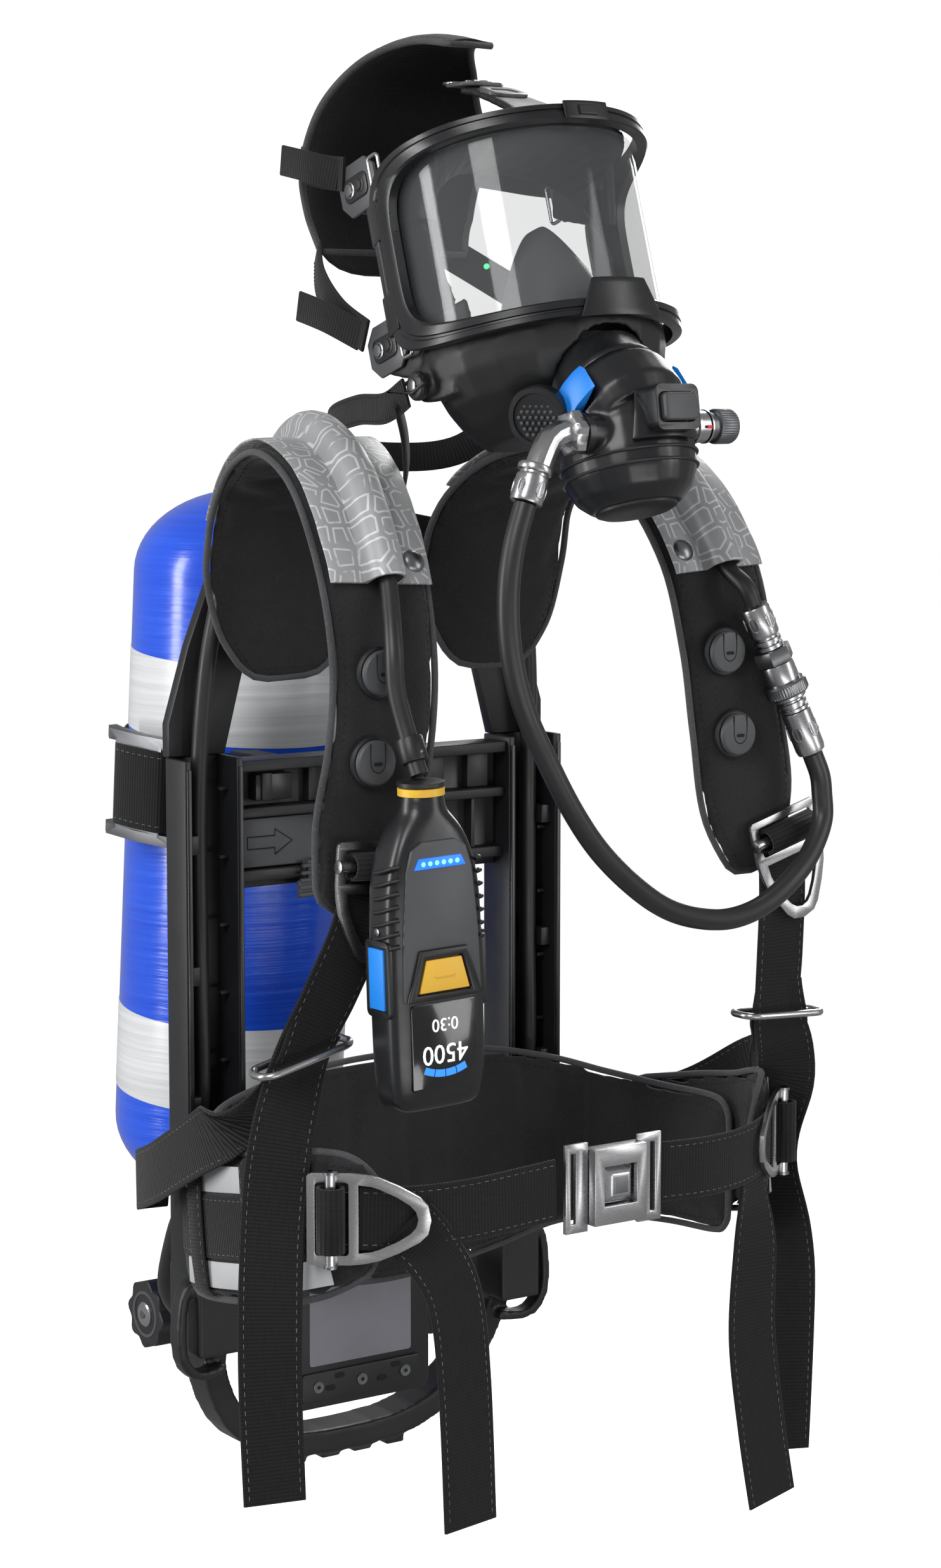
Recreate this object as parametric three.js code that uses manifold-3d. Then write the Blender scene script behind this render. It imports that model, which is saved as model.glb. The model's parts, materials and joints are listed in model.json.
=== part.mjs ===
// A self-contained breathing apparatus: a backplate with a composite air cylinder, a padded harness, a waist belt,
// a hose-mounted display console, and a full-face mask with its demand valve, held as they are when worn.
// Millimetres. +Z is up, the wearer stands on the -Y side of the backplate, and +X is the wearer's left.
// The origin is the middle of the backplate's wearer side at the height of the waist belt.
import * as THREE from "three";
import { mergeVertices } from "three/addons/utils/BufferGeometryUtils.js";
import Module from "manifold-3d";

const wasm = await Module();
wasm.setup();

// ---------------------------------------------------------------- driving dimensions
const GAP = 0.4; // clearance between touching pieces
const PLATE = { outer: 157, inner: 111, depth: 32, wall: 5, low: -90, high: 265 };
const CYLINDER = { radius: 85, half: 268, dome: 62, neck: 20, y: 191, z: 172, tilt: 5.3 };
const BAND = { low: 30, high: 88, thickness: 3 };
const HOSE = { rail: 6, free: 7, railX: 138, railY: 15 };
const PAD = { thickness: 12, steps: 26 };
const WEB = { width: 40, thickness: 2.4 };
const BELT = { z: 8, front: -268, buckle: 37 };
const MASK = { y: -165, z: 598, tilt: -18, radius: 85, half: 60, wrap: 108 };
const PORT = { y: -262, z: 512, drop: 38, bore: 22 };
const CONSOLE = { x: -137, y: -258, z: 166, lean: 2, width: 70, depth: 34, height: 186 };

// ---------------------------------------------------------------- materials
const paint = (color, roughness, metalness = 0) =>
  new THREE.MeshStandardMaterial({ color, roughness, metalness });
const blackPlastic = paint(0x1c1d1f, 0.5);
const darkRubber = paint(0x161718, 0.6);
const blackFabric = paint(0x1a1a1b, 0.9);
const webbing = paint(0x202022, 0.85);
const reflective = paint(0x9a9c9e, 0.6);
const steel = paint(0xb9bbbd, 0.3, 1);
const greyMetal = paint(0x6d6f72, 0.45, 0.8);
const cylinderBlue = paint(0x1d55e0, 0.3);
const releaseBlue = paint(0x1e7fe0, 0.45);
const alertYellow = paint(0xe0aa2a, 0.5);
const clear = paint(0xdfe6ea, 0.05);
const hoseRubber = paint(0x2a2b2d, 0.5);

// ---------------------------------------------------------------- geometry helpers
const V = (x, y, z) => new THREE.Vector3(x, y, z);
const vec = (p) => (Array.isArray(p) ? V(...p) : p.clone());
const rad = THREE.MathUtils.degToRad;
const lerp = THREE.MathUtils.lerp;

// A closed three.js geometry as a solid.
function solid(geometry) {
  const bare = geometry.clone();
  for (const key of Object.keys(bare.attributes)) if (key !== "position") bare.deleteAttribute(key);
  const merged = mergeVertices(bare, 1e-4);
  const made = new wasm.Manifold(new wasm.Mesh({
    numProp: 3,
    vertProperties: new Float32Array(merged.attributes.position.array),
    triVerts: new Uint32Array(merged.index.array),
  }));
  return made;
}

// A solid back as a three.js geometry.
function geometryOf(made) {
  const { vertProperties, triVerts } = made.getMesh();
  return new THREE.BufferGeometry()
    .setAttribute("position", new THREE.BufferAttribute(new Float32Array(vertProperties), 3))
    .setIndex(new THREE.BufferAttribute(new Uint32Array(triVerts), 1));
}

// The largest of a solid's closed surfaces, which fills any void sealed inside it.
const outerSkin = (made) => made.decompose().reduce((best, one) => (one.volume() > best.volume() ? one : best));

const join = (...solids) => solids.reduce((all, one) => all.add(one));

const box = (x0, x1, y0, y1, z0, z1) =>
  solid(new THREE.BoxGeometry(x1 - x0, y1 - y0, z1 - z0).translate((x0 + x1) / 2, (y0 + y1) / 2, (z0 + z1) / 2));

// The turn that carries +Z onto a direction.
const towards = (direction) => new THREE.Quaternion().setFromUnitVectors(V(0, 0, 1), vec(direction).normalize());

// A profile of [radius, height] pairs turned about the line from p along a direction.
function turned(profile, p, direction, segments = 20) {
  const points = profile.map(([r, h]) => new THREE.Vector2(r, h));
  const geometry = new THREE.LatheGeometry(points, segments).rotateX(Math.PI / 2);
  return solid(geometry.applyQuaternion(towards(direction)).translate(...vec(p)));
}

// A plain rod between two points.
function rod(p, q, r, sides = 12) {
  const line = vec(q).sub(vec(p));
  return turned([[0, 0], [r, 0], [r, line.length()], [0, line.length()]], p, line, sides);
}

// An outline of [a, b] pairs, made solid between two planes. plane "xz" is extruded along Y, "xy" along Z.
function slab(outline, plane, from, to, holes = []) {
  const shape = new THREE.Shape(outline.map(([a, b]) => new THREE.Vector2(a, b)));
  for (const hole of holes) shape.holes.push(new THREE.Path(hole.map(([a, b]) => new THREE.Vector2(a, b))));
  const geometry = new THREE.ExtrudeGeometry(shape, { depth: to - from, bevelEnabled: false, curveSegments: 6 });
  if (plane === "xz") geometry.rotateX(Math.PI / 2).translate(0, to, 0);
  else geometry.translate(0, 0, from);
  return solid(geometry);
}

// A rounded rectangle's outline, n points to a corner.
function rounded(halfWidth, halfHeight, r, n = 4, cx = 0, cy = 0) {
  const points = [];
  [[1, 1, 0], [-1, 1, 90], [-1, -1, 180], [1, -1, 270]].forEach(([sx, sy, start]) => {
    for (let i = 0; i <= n; i++) {
      const a = rad(start + (90 * i) / n);
      points.push([cx + sx * (halfWidth - r) + r * Math.cos(a), cy + sy * (halfHeight - r) + r * Math.sin(a)]);
    }
  });
  return points;
}

// A closed surface through rings of points, with flat ends, or joined end to end when it is a loop.
function loft(rings, loop = false) {
  const n = rings[0].length;
  const positions = rings.flat().flatMap((p) => [p.x, p.y, p.z]);
  const faces = [];
  const last = loop ? rings.length : rings.length - 1;
  for (let i = 0; i < last; i++) {
    const a = i * n;
    const b = ((i + 1) % rings.length) * n;
    for (let j = 0; j < n; j++) {
      const k = (j + 1) % n;
      faces.push(a + j, a + k, b + k, a + j, b + k, b + j);
    }
  }
  if (!loop) {
    const e = (rings.length - 1) * n;
    for (const [u, v, w] of capFaces(rings[0])) faces.push(u, w, v);
    for (const [u, v, w] of capFaces(rings[rings.length - 1])) faces.push(e + u, e + v, e + w);
  }
  const geometry = new THREE.BufferGeometry();
  geometry.setAttribute("position", new THREE.Float32BufferAttribute(positions, 3));
  geometry.setIndex(faces);
  const made = solid(geometry);
  return made.volume() < 0 ? loft(rings.map((ring) => [...ring].reverse()), loop) : made;
}

// The triangles that close a ring that may be bent or hollow-sided, found in the plane it lies nearest to.
function capFaces(ring) {
  const centre = ring.reduce((sum, p) => sum.add(p), V(0, 0, 0)).divideScalar(ring.length);
  const normal = V(0, 0, 0);
  ring.forEach((p, i) => normal.add(p.clone().sub(centre).cross(ring[(i + 1) % ring.length].clone().sub(centre))));
  normal.normalize();
  const across = ring[0].clone().sub(centre).projectOnPlane(normal).normalize();
  const up = normal.clone().cross(across);
  const flat = ring.map((p) => new THREE.Vector2(p.clone().sub(centre).dot(across), p.clone().sub(centre).dot(up)));
  return THREE.ShapeUtils.triangulateShape(flat, []);
}

// A smooth value of n numbers through stations, at t from 0 to 1.
function smooth(stations, t) {
  const last = stations.length - 1;
  const i = Math.min(Math.floor(t * last), last - 1);
  const u = t * last - i;
  const pick = (k) => stations[THREE.MathUtils.clamp(k, 0, last)];
  return pick(i).map((_, c) => {
    const [a, b, d, e] = [pick(i - 1)[c], pick(i)[c], pick(i + 1)[c], pick(i + 2)[c]];
    return 0.5 * (2 * b + (d - a) * u + (2 * a - 5 * b + 4 * d - e) * u * u + (3 * b - a - 3 * d + e) * u ** 3);
  });
}

// A strip of a given section along stations [x, y, z, width, acrossX, acrossY, acrossZ]. section(width) gives
// [across, out] pairs: across runs along the station's across direction, and out away from the strip's back face.
function strip(stations, section, steps, from = 0, to = steps) {
  const frames = [];
  for (let i = 0; i <= steps; i++) frames.push(smooth(stations, i / steps));
  const rings = frames.map((f, i) => {
    const here = V(f[0], f[1], f[2]);
    const before = frames[Math.max(i - 1, 0)];
    const after = frames[Math.min(i + 1, steps)];
    const along = V(after[0] - before[0], after[1] - before[1], after[2] - before[2]).normalize();
    const across = V(f[4], f[5], f[6]).projectOnPlane(along).normalize();
    const out = across.clone().cross(along);
    return section(f[3]).map(([a, o]) => here.clone().addScaledVector(across, a).addScaledVector(out, o));
  });
  return loft(rings.slice(from, to + 1));
}

const flat = (thickness) => (width) =>
  [[-width / 2, -thickness / 2], [width / 2, -thickness / 2], [width / 2, thickness / 2], [-width / 2, thickness / 2]];

// A pad's section: flat in the middle and thin at both edges.
const padded = (thickness) => (width) => {
  const [h, e, r] = [thickness / 2, thickness / 5, 9];
  const w = width / 2;
  return [[-w, -e], [-w + r, -h], [w - r, -h], [w, -e], [w, e], [w - r, h], [-w + r, h], [-w, e]];
};

// A round hose along points.
function hose(points, r, steps, sides = 10) {
  const path = new THREE.CatmullRomCurve3(points.map(vec), false, "centripetal");
  const ring = Array.from({ length: sides }, (_, i) => (2 * Math.PI * i) / sides);
  const shape = new THREE.Shape(ring.map((a) => new THREE.Vector2(r * Math.cos(a), r * Math.sin(a))));
  return solid(new THREE.ExtrudeGeometry(shape, { steps, extrudePath: path, bevelEnabled: false }));
}

const mirror = (side, points) => points.map(([x, ...rest]) => [side * x, ...rest]);
const nameOf = (side) => (side < 0 ? "left" : "right");

const part = new THREE.Group();
function add(name, made, material, parent = part) {
  const mesh = new THREE.Mesh(geometryOf(made), material);
  mesh.name = name;
  parent.add(mesh);
  return mesh;
}

// ---------------------------------------------------------------- backplate
// One side rail: a channel open to the wearer, with a window at its foot where the hose comes through.
function rail(side) {
  const { outer, inner, depth, wall, low, high } = PLATE;
  const channel = [[inner, 0], [inner + wall, 0], [inner + wall, depth - wall], [outer - wall, depth - wall],
    [outer - wall, 0], [outer, 0], [outer, depth - 6], [outer - 5, depth], [inner, depth]];
  const profile = side > 0 ? channel : mirror(-1, channel).reverse();
  const window = [side * (inner + 10), side * (outer - 10)].sort((a, b) => a - b);
  return slab(profile, "xy", low, high).subtract(box(...window, depth - wall - 2, depth + 2, -70, 12));
}
for (const side of [-1, 1]) add("rail_" + nameOf(side), rail(side), blackPlastic);

// The crossbar between the rails, with the latch's guides and the two arms that cradle the cylinder.
const latchGuide = { low: 186, high: 222, reach: -62 };
function crossbar() {
  const x = PLATE.inner - GAP;
  const web = box(-x, x, 18, 26, 172, 262);
  const top = box(-x, x, 3, 20, 254, 262);
  const middle = box(-x, x, 5, 20, latchGuide.high, latchGuide.high + 7);
  const lip = box(-x, latchGuide.reach, 5, 20, latchGuide.low - 8, latchGuide.low);
  const stop = box(-30, x, 8, 20, latchGuide.low - 8, latchGuide.low);
  const arms = [-1, 1].map((side) => box(...[side * 38, side * 54].sort((a, b) => a - b), 20, 150, 206, 256));
  return join(web, top, middle, lip, stop, ...arms).subtract(tilted(rodZ(CYLINDER.radius + 4.2, -300, 300, 40)));
}

// Places a solid built about the cylinder's own axis.
const rodZ = (r, low, high, sides) => rod([0, 0, low], [0, 0, high], r, sides);
const tilted = (made) => made.rotate([CYLINDER.tilt, 0, 0]).translate([0, CYLINDER.y, CYLINDER.z]);
add("crossbar", crossbar(), blackPlastic);

// The latch that sets the backplate's length: a plate with a thumb tab, sliding along X in the guides.
const latchPlate = box(-108, -50, 9, 14, latchGuide.low + 1, latchGuide.high - 1);
const latchTab = join(box(-58, -50, 2, 14, 164, 190), box(-66, -50, 2, 5, 164, 176));
add("height_latch", join(latchPlate, latchTab), greyMetal);

// The yoke: the two arms that carry on from the rails and meet behind the neck.
function yoke() {
  const half = [[156, PLATE.high + GAP], [156, 288], [140, 340], [122, 385], [86, 418], [34, 428]];
  const arch = [[46, 392], [80, 366], [98, 318], [112, PLATE.high + GAP]];
  const outline = [...half, ...mirror(-1, half).reverse(), ...mirror(-1, arch).reverse(), ...arch];
  return slab(outline, "xz", 23, 32);
}
add("yoke", yoke(), blackPlastic);

// The foot: short posts under the rails, a bumper swept between them, rubbing blocks and the two carry handles.
function foot() {
  const { outer, inner, depth, low } = PLATE;
  const posts = [-1, 1].map((side) => box(...[side * inner, side * (outer - 12)].sort((a, b) => a - b), 8, depth + 18, -152, low - GAP));
  const bumper = strip([
    [122, 36, -142, 28, 0, 1, 0], [117, 46, -176, 28, 0, 1, 0], [94, 54, -216, 30, 0, 1, 0], [54, 57, -238, 32, 0, 1, 0],
    [0, 58, -243, 32, 0, 1, 0], [-54, 57, -238, 32, 0, 1, 0], [-94, 54, -216, 30, 0, 1, 0], [-117, 46, -176, 28, 0, 1, 0],
    [-122, 36, -142, 28, 0, 1, 0]], flat(18), 22);
  const blocks = [-42, -14, 14, 42].map((x) => box(x - 8, x + 8, 46, 68, -256, -244));
  const handles = [-1, 1].map((side) => strip(mirror(side, [
    [140, 20, -98, 14, 0, 1, 0], [151, 20, -106, 14, 0, 1, 0], [155, 20, -130, 14, 0, 1, 0],
    [153, 20, -154, 14, 0, 1, 0], [140, 22, -167, 14, 0, 1, 0], [118, 26, -166, 14, 0, 1, 0]]), flat(7), 12));
  return join(...posts, bumper, ...blocks, ...handles);
}
add("foot_frame", foot(), blackPlastic);

const REDUCER = { y: 128, z: -164, half: 52 };
// The control module between the posts, and the pneumatic block beside it.
const moduleCase = slab(rounded(58, 52, 8, 3, -8, -154), "xz", 14, 52);
const sideBlock = slab(rounded(26, 30, 12, 3, 70, -140), "xz", 20, 46);
const bracket = box(-14, 14, 50, REDUCER.y - 30 - GAP, -176, -152);
add("control_module", join(moduleCase, sideBlock, bracket), blackPlastic);

// ---------------------------------------------------------------- cylinder and its valve
function airCylinder() {
  const { radius, half, dome, neck } = CYLINDER;
  const profile = [[0, -half], [neck, -half]];
  const end = (t) => [radius * Math.cos(t), dome * Math.sin(t)];
  for (const a of [72, 54, 36, 18, 0]) profile.push([end(rad(a))[0], -half + dome - end(rad(a))[1]]);
  for (const a of [0, 18, 36, 54, 72]) profile.push([end(rad(a))[0], half - dome + end(rad(a))[1]]);
  profile.push([0, half]);
  return turned(profile, [0, 0, 0], [0, 0, 1], 30);
}
add("cylinder", tilted(airCylinder()), cylinderBlue);

const bandRing = rodZ(CYLINDER.radius + 0.6 + BAND.thickness, BAND.low, BAND.high, 36)
  .subtract(rodZ(CYLINDER.radius + 0.6, BAND.low - 1, BAND.high + 1, 36));
add("cylinder_band", tilted(bandRing), webbing);

// The band's buckle: a base plate with a hinge pin, and the over-centre lever that closes on it.
const HINGE = { x: -98, y: -62 };
const buckleBase = join(
  box(-96, -89.4, -40, 26, 34, 84),
  box(HINGE.x - 2, HINGE.x + 8, HINGE.y - 2, -36, 34, 84),
  rod([HINGE.x, HINGE.y, 14], [HINGE.x, HINGE.y, 102], 3, 10));
add("band_buckle", tilted(buckleBase.subtract(rodZ(CYLINDER.radius + 4, 0, 120, 36)).rotate([0, 0, 15])), steel);

function bandLever() {
  const outline = [[-93, -68], [-99, -69], [-108, -40], [-112, -4], [-109, 30], [-102, 38], [-95, 37],
    [-99, 26], [-104, -2], [-101, -34], [-94, -56]];
  const plates = [[20, 28], [90, 98]].map(([low, high]) => slab([...outline].reverse(), "xy", low, high));
  const hole = rod([HINGE.x, HINGE.y, 0], [HINGE.x, HINGE.y, 120], 3.5, 10);
  const pack = box(-110, -100, -24, 22, 26, 92).subtract(rodZ(97, 0, 120, 36));
  return join(...plates, pack).subtract(hole).rotate([0, 0, 15]);
}
add("band_lever", tilted(bandLever()), greyMetal);

// The cylinder valve: neck collar, body and the stub that carries the handwheel.
const WHEEL = { y: -14, z: -350, x: -52 };
const valveBody = join(
  turned([[0, -312], [26, -312], [28, -304], [28, -286], [19, -276], [19, -268 - GAP], [0, -268 - GAP]], [0, 0, 0], [0, 0, 1], 20),
  box(-22, 22, -30, 20, -372, -308),
  rod([-20, WHEEL.y, WHEEL.z], [WHEEL.x, WHEEL.y, WHEEL.z], 15, 16),
  rod([WHEEL.x, WHEEL.y, WHEEL.z], [WHEEL.x - 16, WHEEL.y, WHEEL.z], 5, 12));
add("cylinder_valve", tilted(valveBody), greyMetal);

// The handwheel: eight lobes round a hub with a blind socket over the valve's spindle.
function handwheel() {
  const outline = Array.from({ length: 48 }, (_, i) => {
    const a = (2 * Math.PI * i) / 48;
    const r = 24.5 + 2.2 * Math.cos(8 * a);
    return [r * Math.cos(a), r * Math.sin(a)];
  });
  const wheel = slab(outline, "xy", 0, 22).subtract(rodZ(5.5, -1, 17, 12));
  return wheel.rotate([0, -90, 0]).translate([WHEEL.x - GAP, WHEEL.y, WHEEL.z]);
}
add("handwheel", tilted(handwheel()), blackPlastic);

// The pressure reducer in front of the valve, with a hose boss at each end and the hand connector to the valve.
const reducer = join(
  rod([-REDUCER.half, REDUCER.y, REDUCER.z], [REDUCER.half, REDUCER.y, REDUCER.z], 22, 20),
  box(-18, 18, REDUCER.y - 30, REDUCER.y + 30, REDUCER.z - 16, REDUCER.z + 16),
  rod([-REDUCER.half - 12, REDUCER.y, REDUCER.z], [REDUCER.half + 12, REDUCER.y, REDUCER.z], 9, 14),
  rod([0, REDUCER.y + 12, REDUCER.z - 2], [0, 190, REDUCER.z - 2], 14, 16));
add("pressure_reducer", reducer, greyMetal);

// ---------------------------------------------------------------- shoulder pads and covers
// Centre line of a shoulder pad from its wing on the backplate, over the shoulder and down the chest.
const padLine = (side) => mirror(side, [
  [84, -12, 318], [85, -12, 352], [87, -14, 394], [93, -26, 434], [105, -58, 464], [117, -104, 473],
  [127, -154, 452], [134, -194, 402], [137, -212, 345], [143, -216, 292], [154, -214, 238], [168, -208, 190]])
  .map((p, i) => [...p, [58, 104, 122, 114, 98, 88, 82, 80, 78, 78, 76, 40][i], 1, 0, 0]);

for (const side of [-1, 1])
  add("shoulder_pad_" + nameOf(side), strip(padLine(side), padded(PAD.thickness), PAD.steps), blackFabric);

// The reflective sleeve over the pad's crown: two flanges and a tunnel for the hose.
function sleeveSection(width) {
  const w = width / 2 - 3;
  const base = PAD.thickness / 2 + 1.6;
  const tunnel = (r) => Array.from({ length: 7 }, (_, i) => {
    const a = Math.PI * (i / 6);
    return [r * Math.cos(a), base + 7.4 + r * Math.sin(a)];
  });
  return [[-w, base], [-9.6, base], ...tunnel(9.6).reverse(), [9.6, base], [w, base], [w, base + 2],
    [12, base + 2], ...tunnel(12), [-12, base + 2], [-w, base + 2]].map(([a, out]) => [a, -out]);
}
for (const side of [-1, 1])
  add("shoulder_cover_" + nameOf(side), strip(padLine(side), sleeveSection, PAD.steps, 7, 17), reflective);

// The round hose clips on each pad.
const clipPlaces = [[134, 341], [141, 286]];
const clip = (side, x, z, i) => {
  const y = i ? -224.5 : -221.5;
  const disc = [[0, 0], [15, 0], [16, 2], [14, 5], [0, 5]];
  return turned(disc, [side * x, y, z], [0, -1, 0], 20);
};
for (const side of [-1, 1])
  clipPlaces.forEach(([x, z], i) => add(`hose_clip_${nameOf(side)}_${i + 1}`, clip(side, side < 0 ? x + 14 : x - 8, z, i), blackPlastic));

// ---------------------------------------------------------------- hoses held by the harness
// From the reducer through the rail, over the shoulder on the pad's back, and down the chest.
const padOut = PAD.thickness / 2 + 9;
function onPad(side, t, shift = 0) {
  const here = smooth(padLine(side), t);
  const before = smooth(padLine(side), t - 0.02);
  const after = smooth(padLine(side), t + 0.02);
  const along = V(after[0] - before[0], after[1] - before[1], after[2] - before[2]).normalize();
  const out = V(-1, 0, 0).projectOnPlane(along).normalize().cross(along);
  return V(here[0], here[1], here[2]).addScaledVector(out, padOut).add(V(side * shift, 0, 0)).toArray();
}
const hoseBack = (side) => [...mirror(side, [
  [REDUCER.half + 14, REDUCER.y, REDUCER.z], [84, REDUCER.y - 4, -160], [118, 100, -128], [134, 62, -78], [HOSE.railX, 27, -28],
  [HOSE.railX, HOSE.railY, 26], [HOSE.railX, HOSE.railY, 120], [HOSE.railX, HOSE.railY, 236], [HOSE.railX - 2, 11, 300],
  [130, 8, 350], [116, 7, 396]]), ...[7, 8, 9, 10, 11, 12, 13, 14, 15, 16, 17].map((i) => onPad(side, i / PAD.steps))];
const consoleHose = [...hoseBack(-1), [-152, -235.5, 358], [-147, -239, 331], [-142, -246, 304], [-140.5, -256, 280]];
const supplyHose = [...hoseBack(1), [138.8, -230.4, 382.8], [143.7, -231.9, 370.9]];
add("console_hose", hose(consoleHose, HOSE.rail, 52, 8), hoseRubber);
add("supply_hose", hose(supplyHose, HOSE.rail, 48, 8), hoseRubber);

// ---------------------------------------------------------------- display console
const consoleGroup = new THREE.Group();
consoleGroup.position.set(CONSOLE.x, CONSOLE.y, CONSOLE.z);
consoleGroup.rotation.set(0, rad(-CONSOLE.lean), 0);
part.add(consoleGroup);

function consoleCase() {
  const { width: w, depth: d, height: h } = CONSOLE;
  const ring = (z, grow, x = 0) => rounded(w / 2 + grow, d / 2 + grow / 4, 9, 3, x).map(([a, b]) => V(a, b, z));
  const body = loft([ring(-h / 2, -6), ring(-h / 2 + 8, 0), ring(-h / 6, 0), ring(h / 5, 0), ring(h / 2 - 22, -4), ring(h / 2 - 4, -12), ring(h / 2, -17)]);
  const neck = rodZ(13.5, h / 2 - 2, h / 2 + 17, 16);
  const sidePockets = [-1, 1].map((s) => box(...[s * (w / 2 - 6), s * (w / 2 + 4)].sort((a, b) => a - b), -9, 9, -28, 12));
  const buttonPocket = box(-20, 20, -d / 2 - 2, -d / 2 + 6, -18, 4);
  return [...sidePockets, buttonPocket].reduce((all, cut) => all.subtract(cut), join(body, neck));
}
add("console_case", consoleCase(), blackPlastic, consoleGroup);
const frontKey = [[-18.5, -17], [18.5, -17], [13, 3], [-13, 3]];
add("console_key", slab(frontKey, "xz", -CONSOLE.depth / 2 - 3, -CONSOLE.depth / 2 + 2), alertYellow, consoleGroup);
for (const side of [-1, 1]) {
  const reach = [side * (CONSOLE.width / 2 - 2.5), side * (CONSOLE.width / 2 + 2.5)].sort((a, b) => a - b);
  add("console_side_key_" + nameOf(side), box(...reach, -8, 8, -27, 11), releaseBlue, consoleGroup);
}

// ---------------------------------------------------------------- hose coupling and the demand hose
const COUPLING = { top: [144, -232, 370], bottom: [185, -244.5, 271.5] };
const couplingLine = vec(COUPLING.bottom).sub(vec(COUPLING.top));
const couplingProfile = [[0, 0], [8.5, 0], [9.5, 4], [9.5, 22], [7, 24], [7, 30], [11.5, 31], [11.5, 40], [11, 41], [11, 54],
  [11, 66], [8, 67], [8, 74], [9.5, 76], [9.5, 104], [8.6, 107], [0, 107]];
add("hose_coupling", turned(couplingProfile, COUPLING.top, couplingLine, 16), steel);
const sleeveRing = [[11.4, 54], [13.5, 54], [14.5, 56], [14.5, 62], [13.5, 64], [11.4, 64], [11.4, 54]];
add("coupling_sleeve", turned(sleeveRing, COUPLING.top, couplingLine, 24), greyMetal);

// The free loop from the coupling down and round to the demand valve's elbow.
const loopStart = vec(COUPLING.top).addScaledVector(couplingLine.clone().normalize(), 107.9);
const demandLoop = [loopStart.toArray(), [190.6, -246.4, 256], [191.6, -247.4, 244], [191, -249, 227], [175, -255, 205], [151, -261, 188], [122, -268, 176],
  [90, -275, 172], [59, -281, 176], [28, -287, 186], [-1, -292, 203], [-33, -297, 229], [-56, -300, 256], [-79, -302, 292],
  [-96, -303, 324], [-106, -304, 358], [-108, -304, 392], [-104, -304, 420], [-95, -303, 446]];
add("demand_hose", hose(demandLoop, HOSE.free, 54, 8), hoseRubber);

// ---------------------------------------------------------------- demand valve
const portAxis = V(0, -Math.cos(rad(PORT.drop)), -Math.sin(rad(PORT.drop)));
const portCentre = V(0, PORT.y, PORT.z);
const alongPort = (distance) => portCentre.clone().addScaledVector(portAxis, distance);

// The housing: a round collar on the port's axis, a bulb hanging below it, the spigot that enters the mask, and bosses.
function demandValve() {
  const collar = turned([[0, 0], [38, 0], [40, 4], [40, 24], [34, 34], [0, 36]], alongPort(2), portAxis, 28);
  const bulbAxis = V(0, 0.3, 1).normalize();
  const bulb = turned([[0, 0], [28, 0], [37, 8], [42, 20], [43, 32], [41, 50], [34, 72], [0, 80]], [0, -290, 441], bulbAxis, 28);
  const spigot = turned([[0, -16], [PORT.bore - 3, -16], [PORT.bore - 3, 4], [0, 4]], portCentre, portAxis, 24);
  const bypassStub = rod([30, -290, 491], [52, -290, 491], 10, 16);
  const inletBoss = rod([-30, -294, 488], [-48, -294, 488], 11, 16);
  const purgeSeat = rod([0, -290, 498], [0, -328, 504], 14, 16);
  const pockets = [-1, 1].map((side) => box(...[side * 33, side * 60].sort((a, b) => a - b), -300, -250, 484, 540));
  const hollow = pockets.map((p) => p.intersect(turned([[30, -4], [60, -4], [60, 24], [30, 24], [30, -4]], alongPort(2), portAxis, 28)));
  const spindleHole = rod([44, -290, 491], [54, -290, 491], 7.5, 14);
  const purgeHole = rod([0, -322, 503.05], [0, -340, 505.9], 10.5, 16);
  const portRoom = turned([[0, -60], [42, -60], [42, 1.8], [0, 1.8]], portCentre, portAxis, 28);
  const body = join(collar, bulb, bypassStub, inletBoss, purgeSeat).subtract(portRoom).add(spigot);
  return [...hollow, spindleHole, purgeHole].reduce((all, cut) => all.subtract(cut), body);
}
add("demand_valve", demandValve(), darkRubber);

// The two release buttons: crescents in the collar's side pockets, pushed in towards the middle.
for (const side of [-1, 1]) {
  const ring = turned([[32.5, 1], [44, 1], [45, 6], [44, 21], [32.5, 21], [32.5, 1]], alongPort(2), portAxis, 28);
  const keep = box(...[side * 36.5, side * 60].sort((a, b) => a - b), -298, -252, 487, 537);
  add("release_button_" + nameOf(side), ring.intersect(keep), releaseBlue);
}
const purgeAxis = V(0, -38, 6).normalize();
add("purge_button", turned([[0, 0], [10, 0], [10, 8], [8, 10], [0, 10]], V(0, -325.6, 503.62), purgeAxis, 16), darkRubber);
add("bypass_knob", join(rod([46, -290, 491], [56, -290, 491], 6.8, 14), rod([52.6, -290, 491], [60, -290, 491], 8, 16),
  rod([60, -290, 491], [74, -290, 491], 11, 18)), greyMetal);

// The swivel elbow and crimped ferrule that the demand hose ends in.
const elbowBend = hose([[-48.5, -294, 488], [-60, -294, 488], [-71, -296, 484], [-80, -299.5, 474], [-87.5, -302, 461]], 8.5, 8, 12);
const ferrule = turned([[0, 1], [9, 1], [9.5, 4], [9.5, 18], [0, 20]], [-95, -303, 446], V(9, 1, 23), 16);
add("hose_elbow", join(elbowBend, ferrule), steel);

// ---------------------------------------------------------------- mask
const maskGroup = new THREE.Group();
maskGroup.position.set(0, MASK.y, MASK.z);
maskGroup.rotation.set(rad(MASK.tilt), 0, 0);
part.add(maskGroup);

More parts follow.
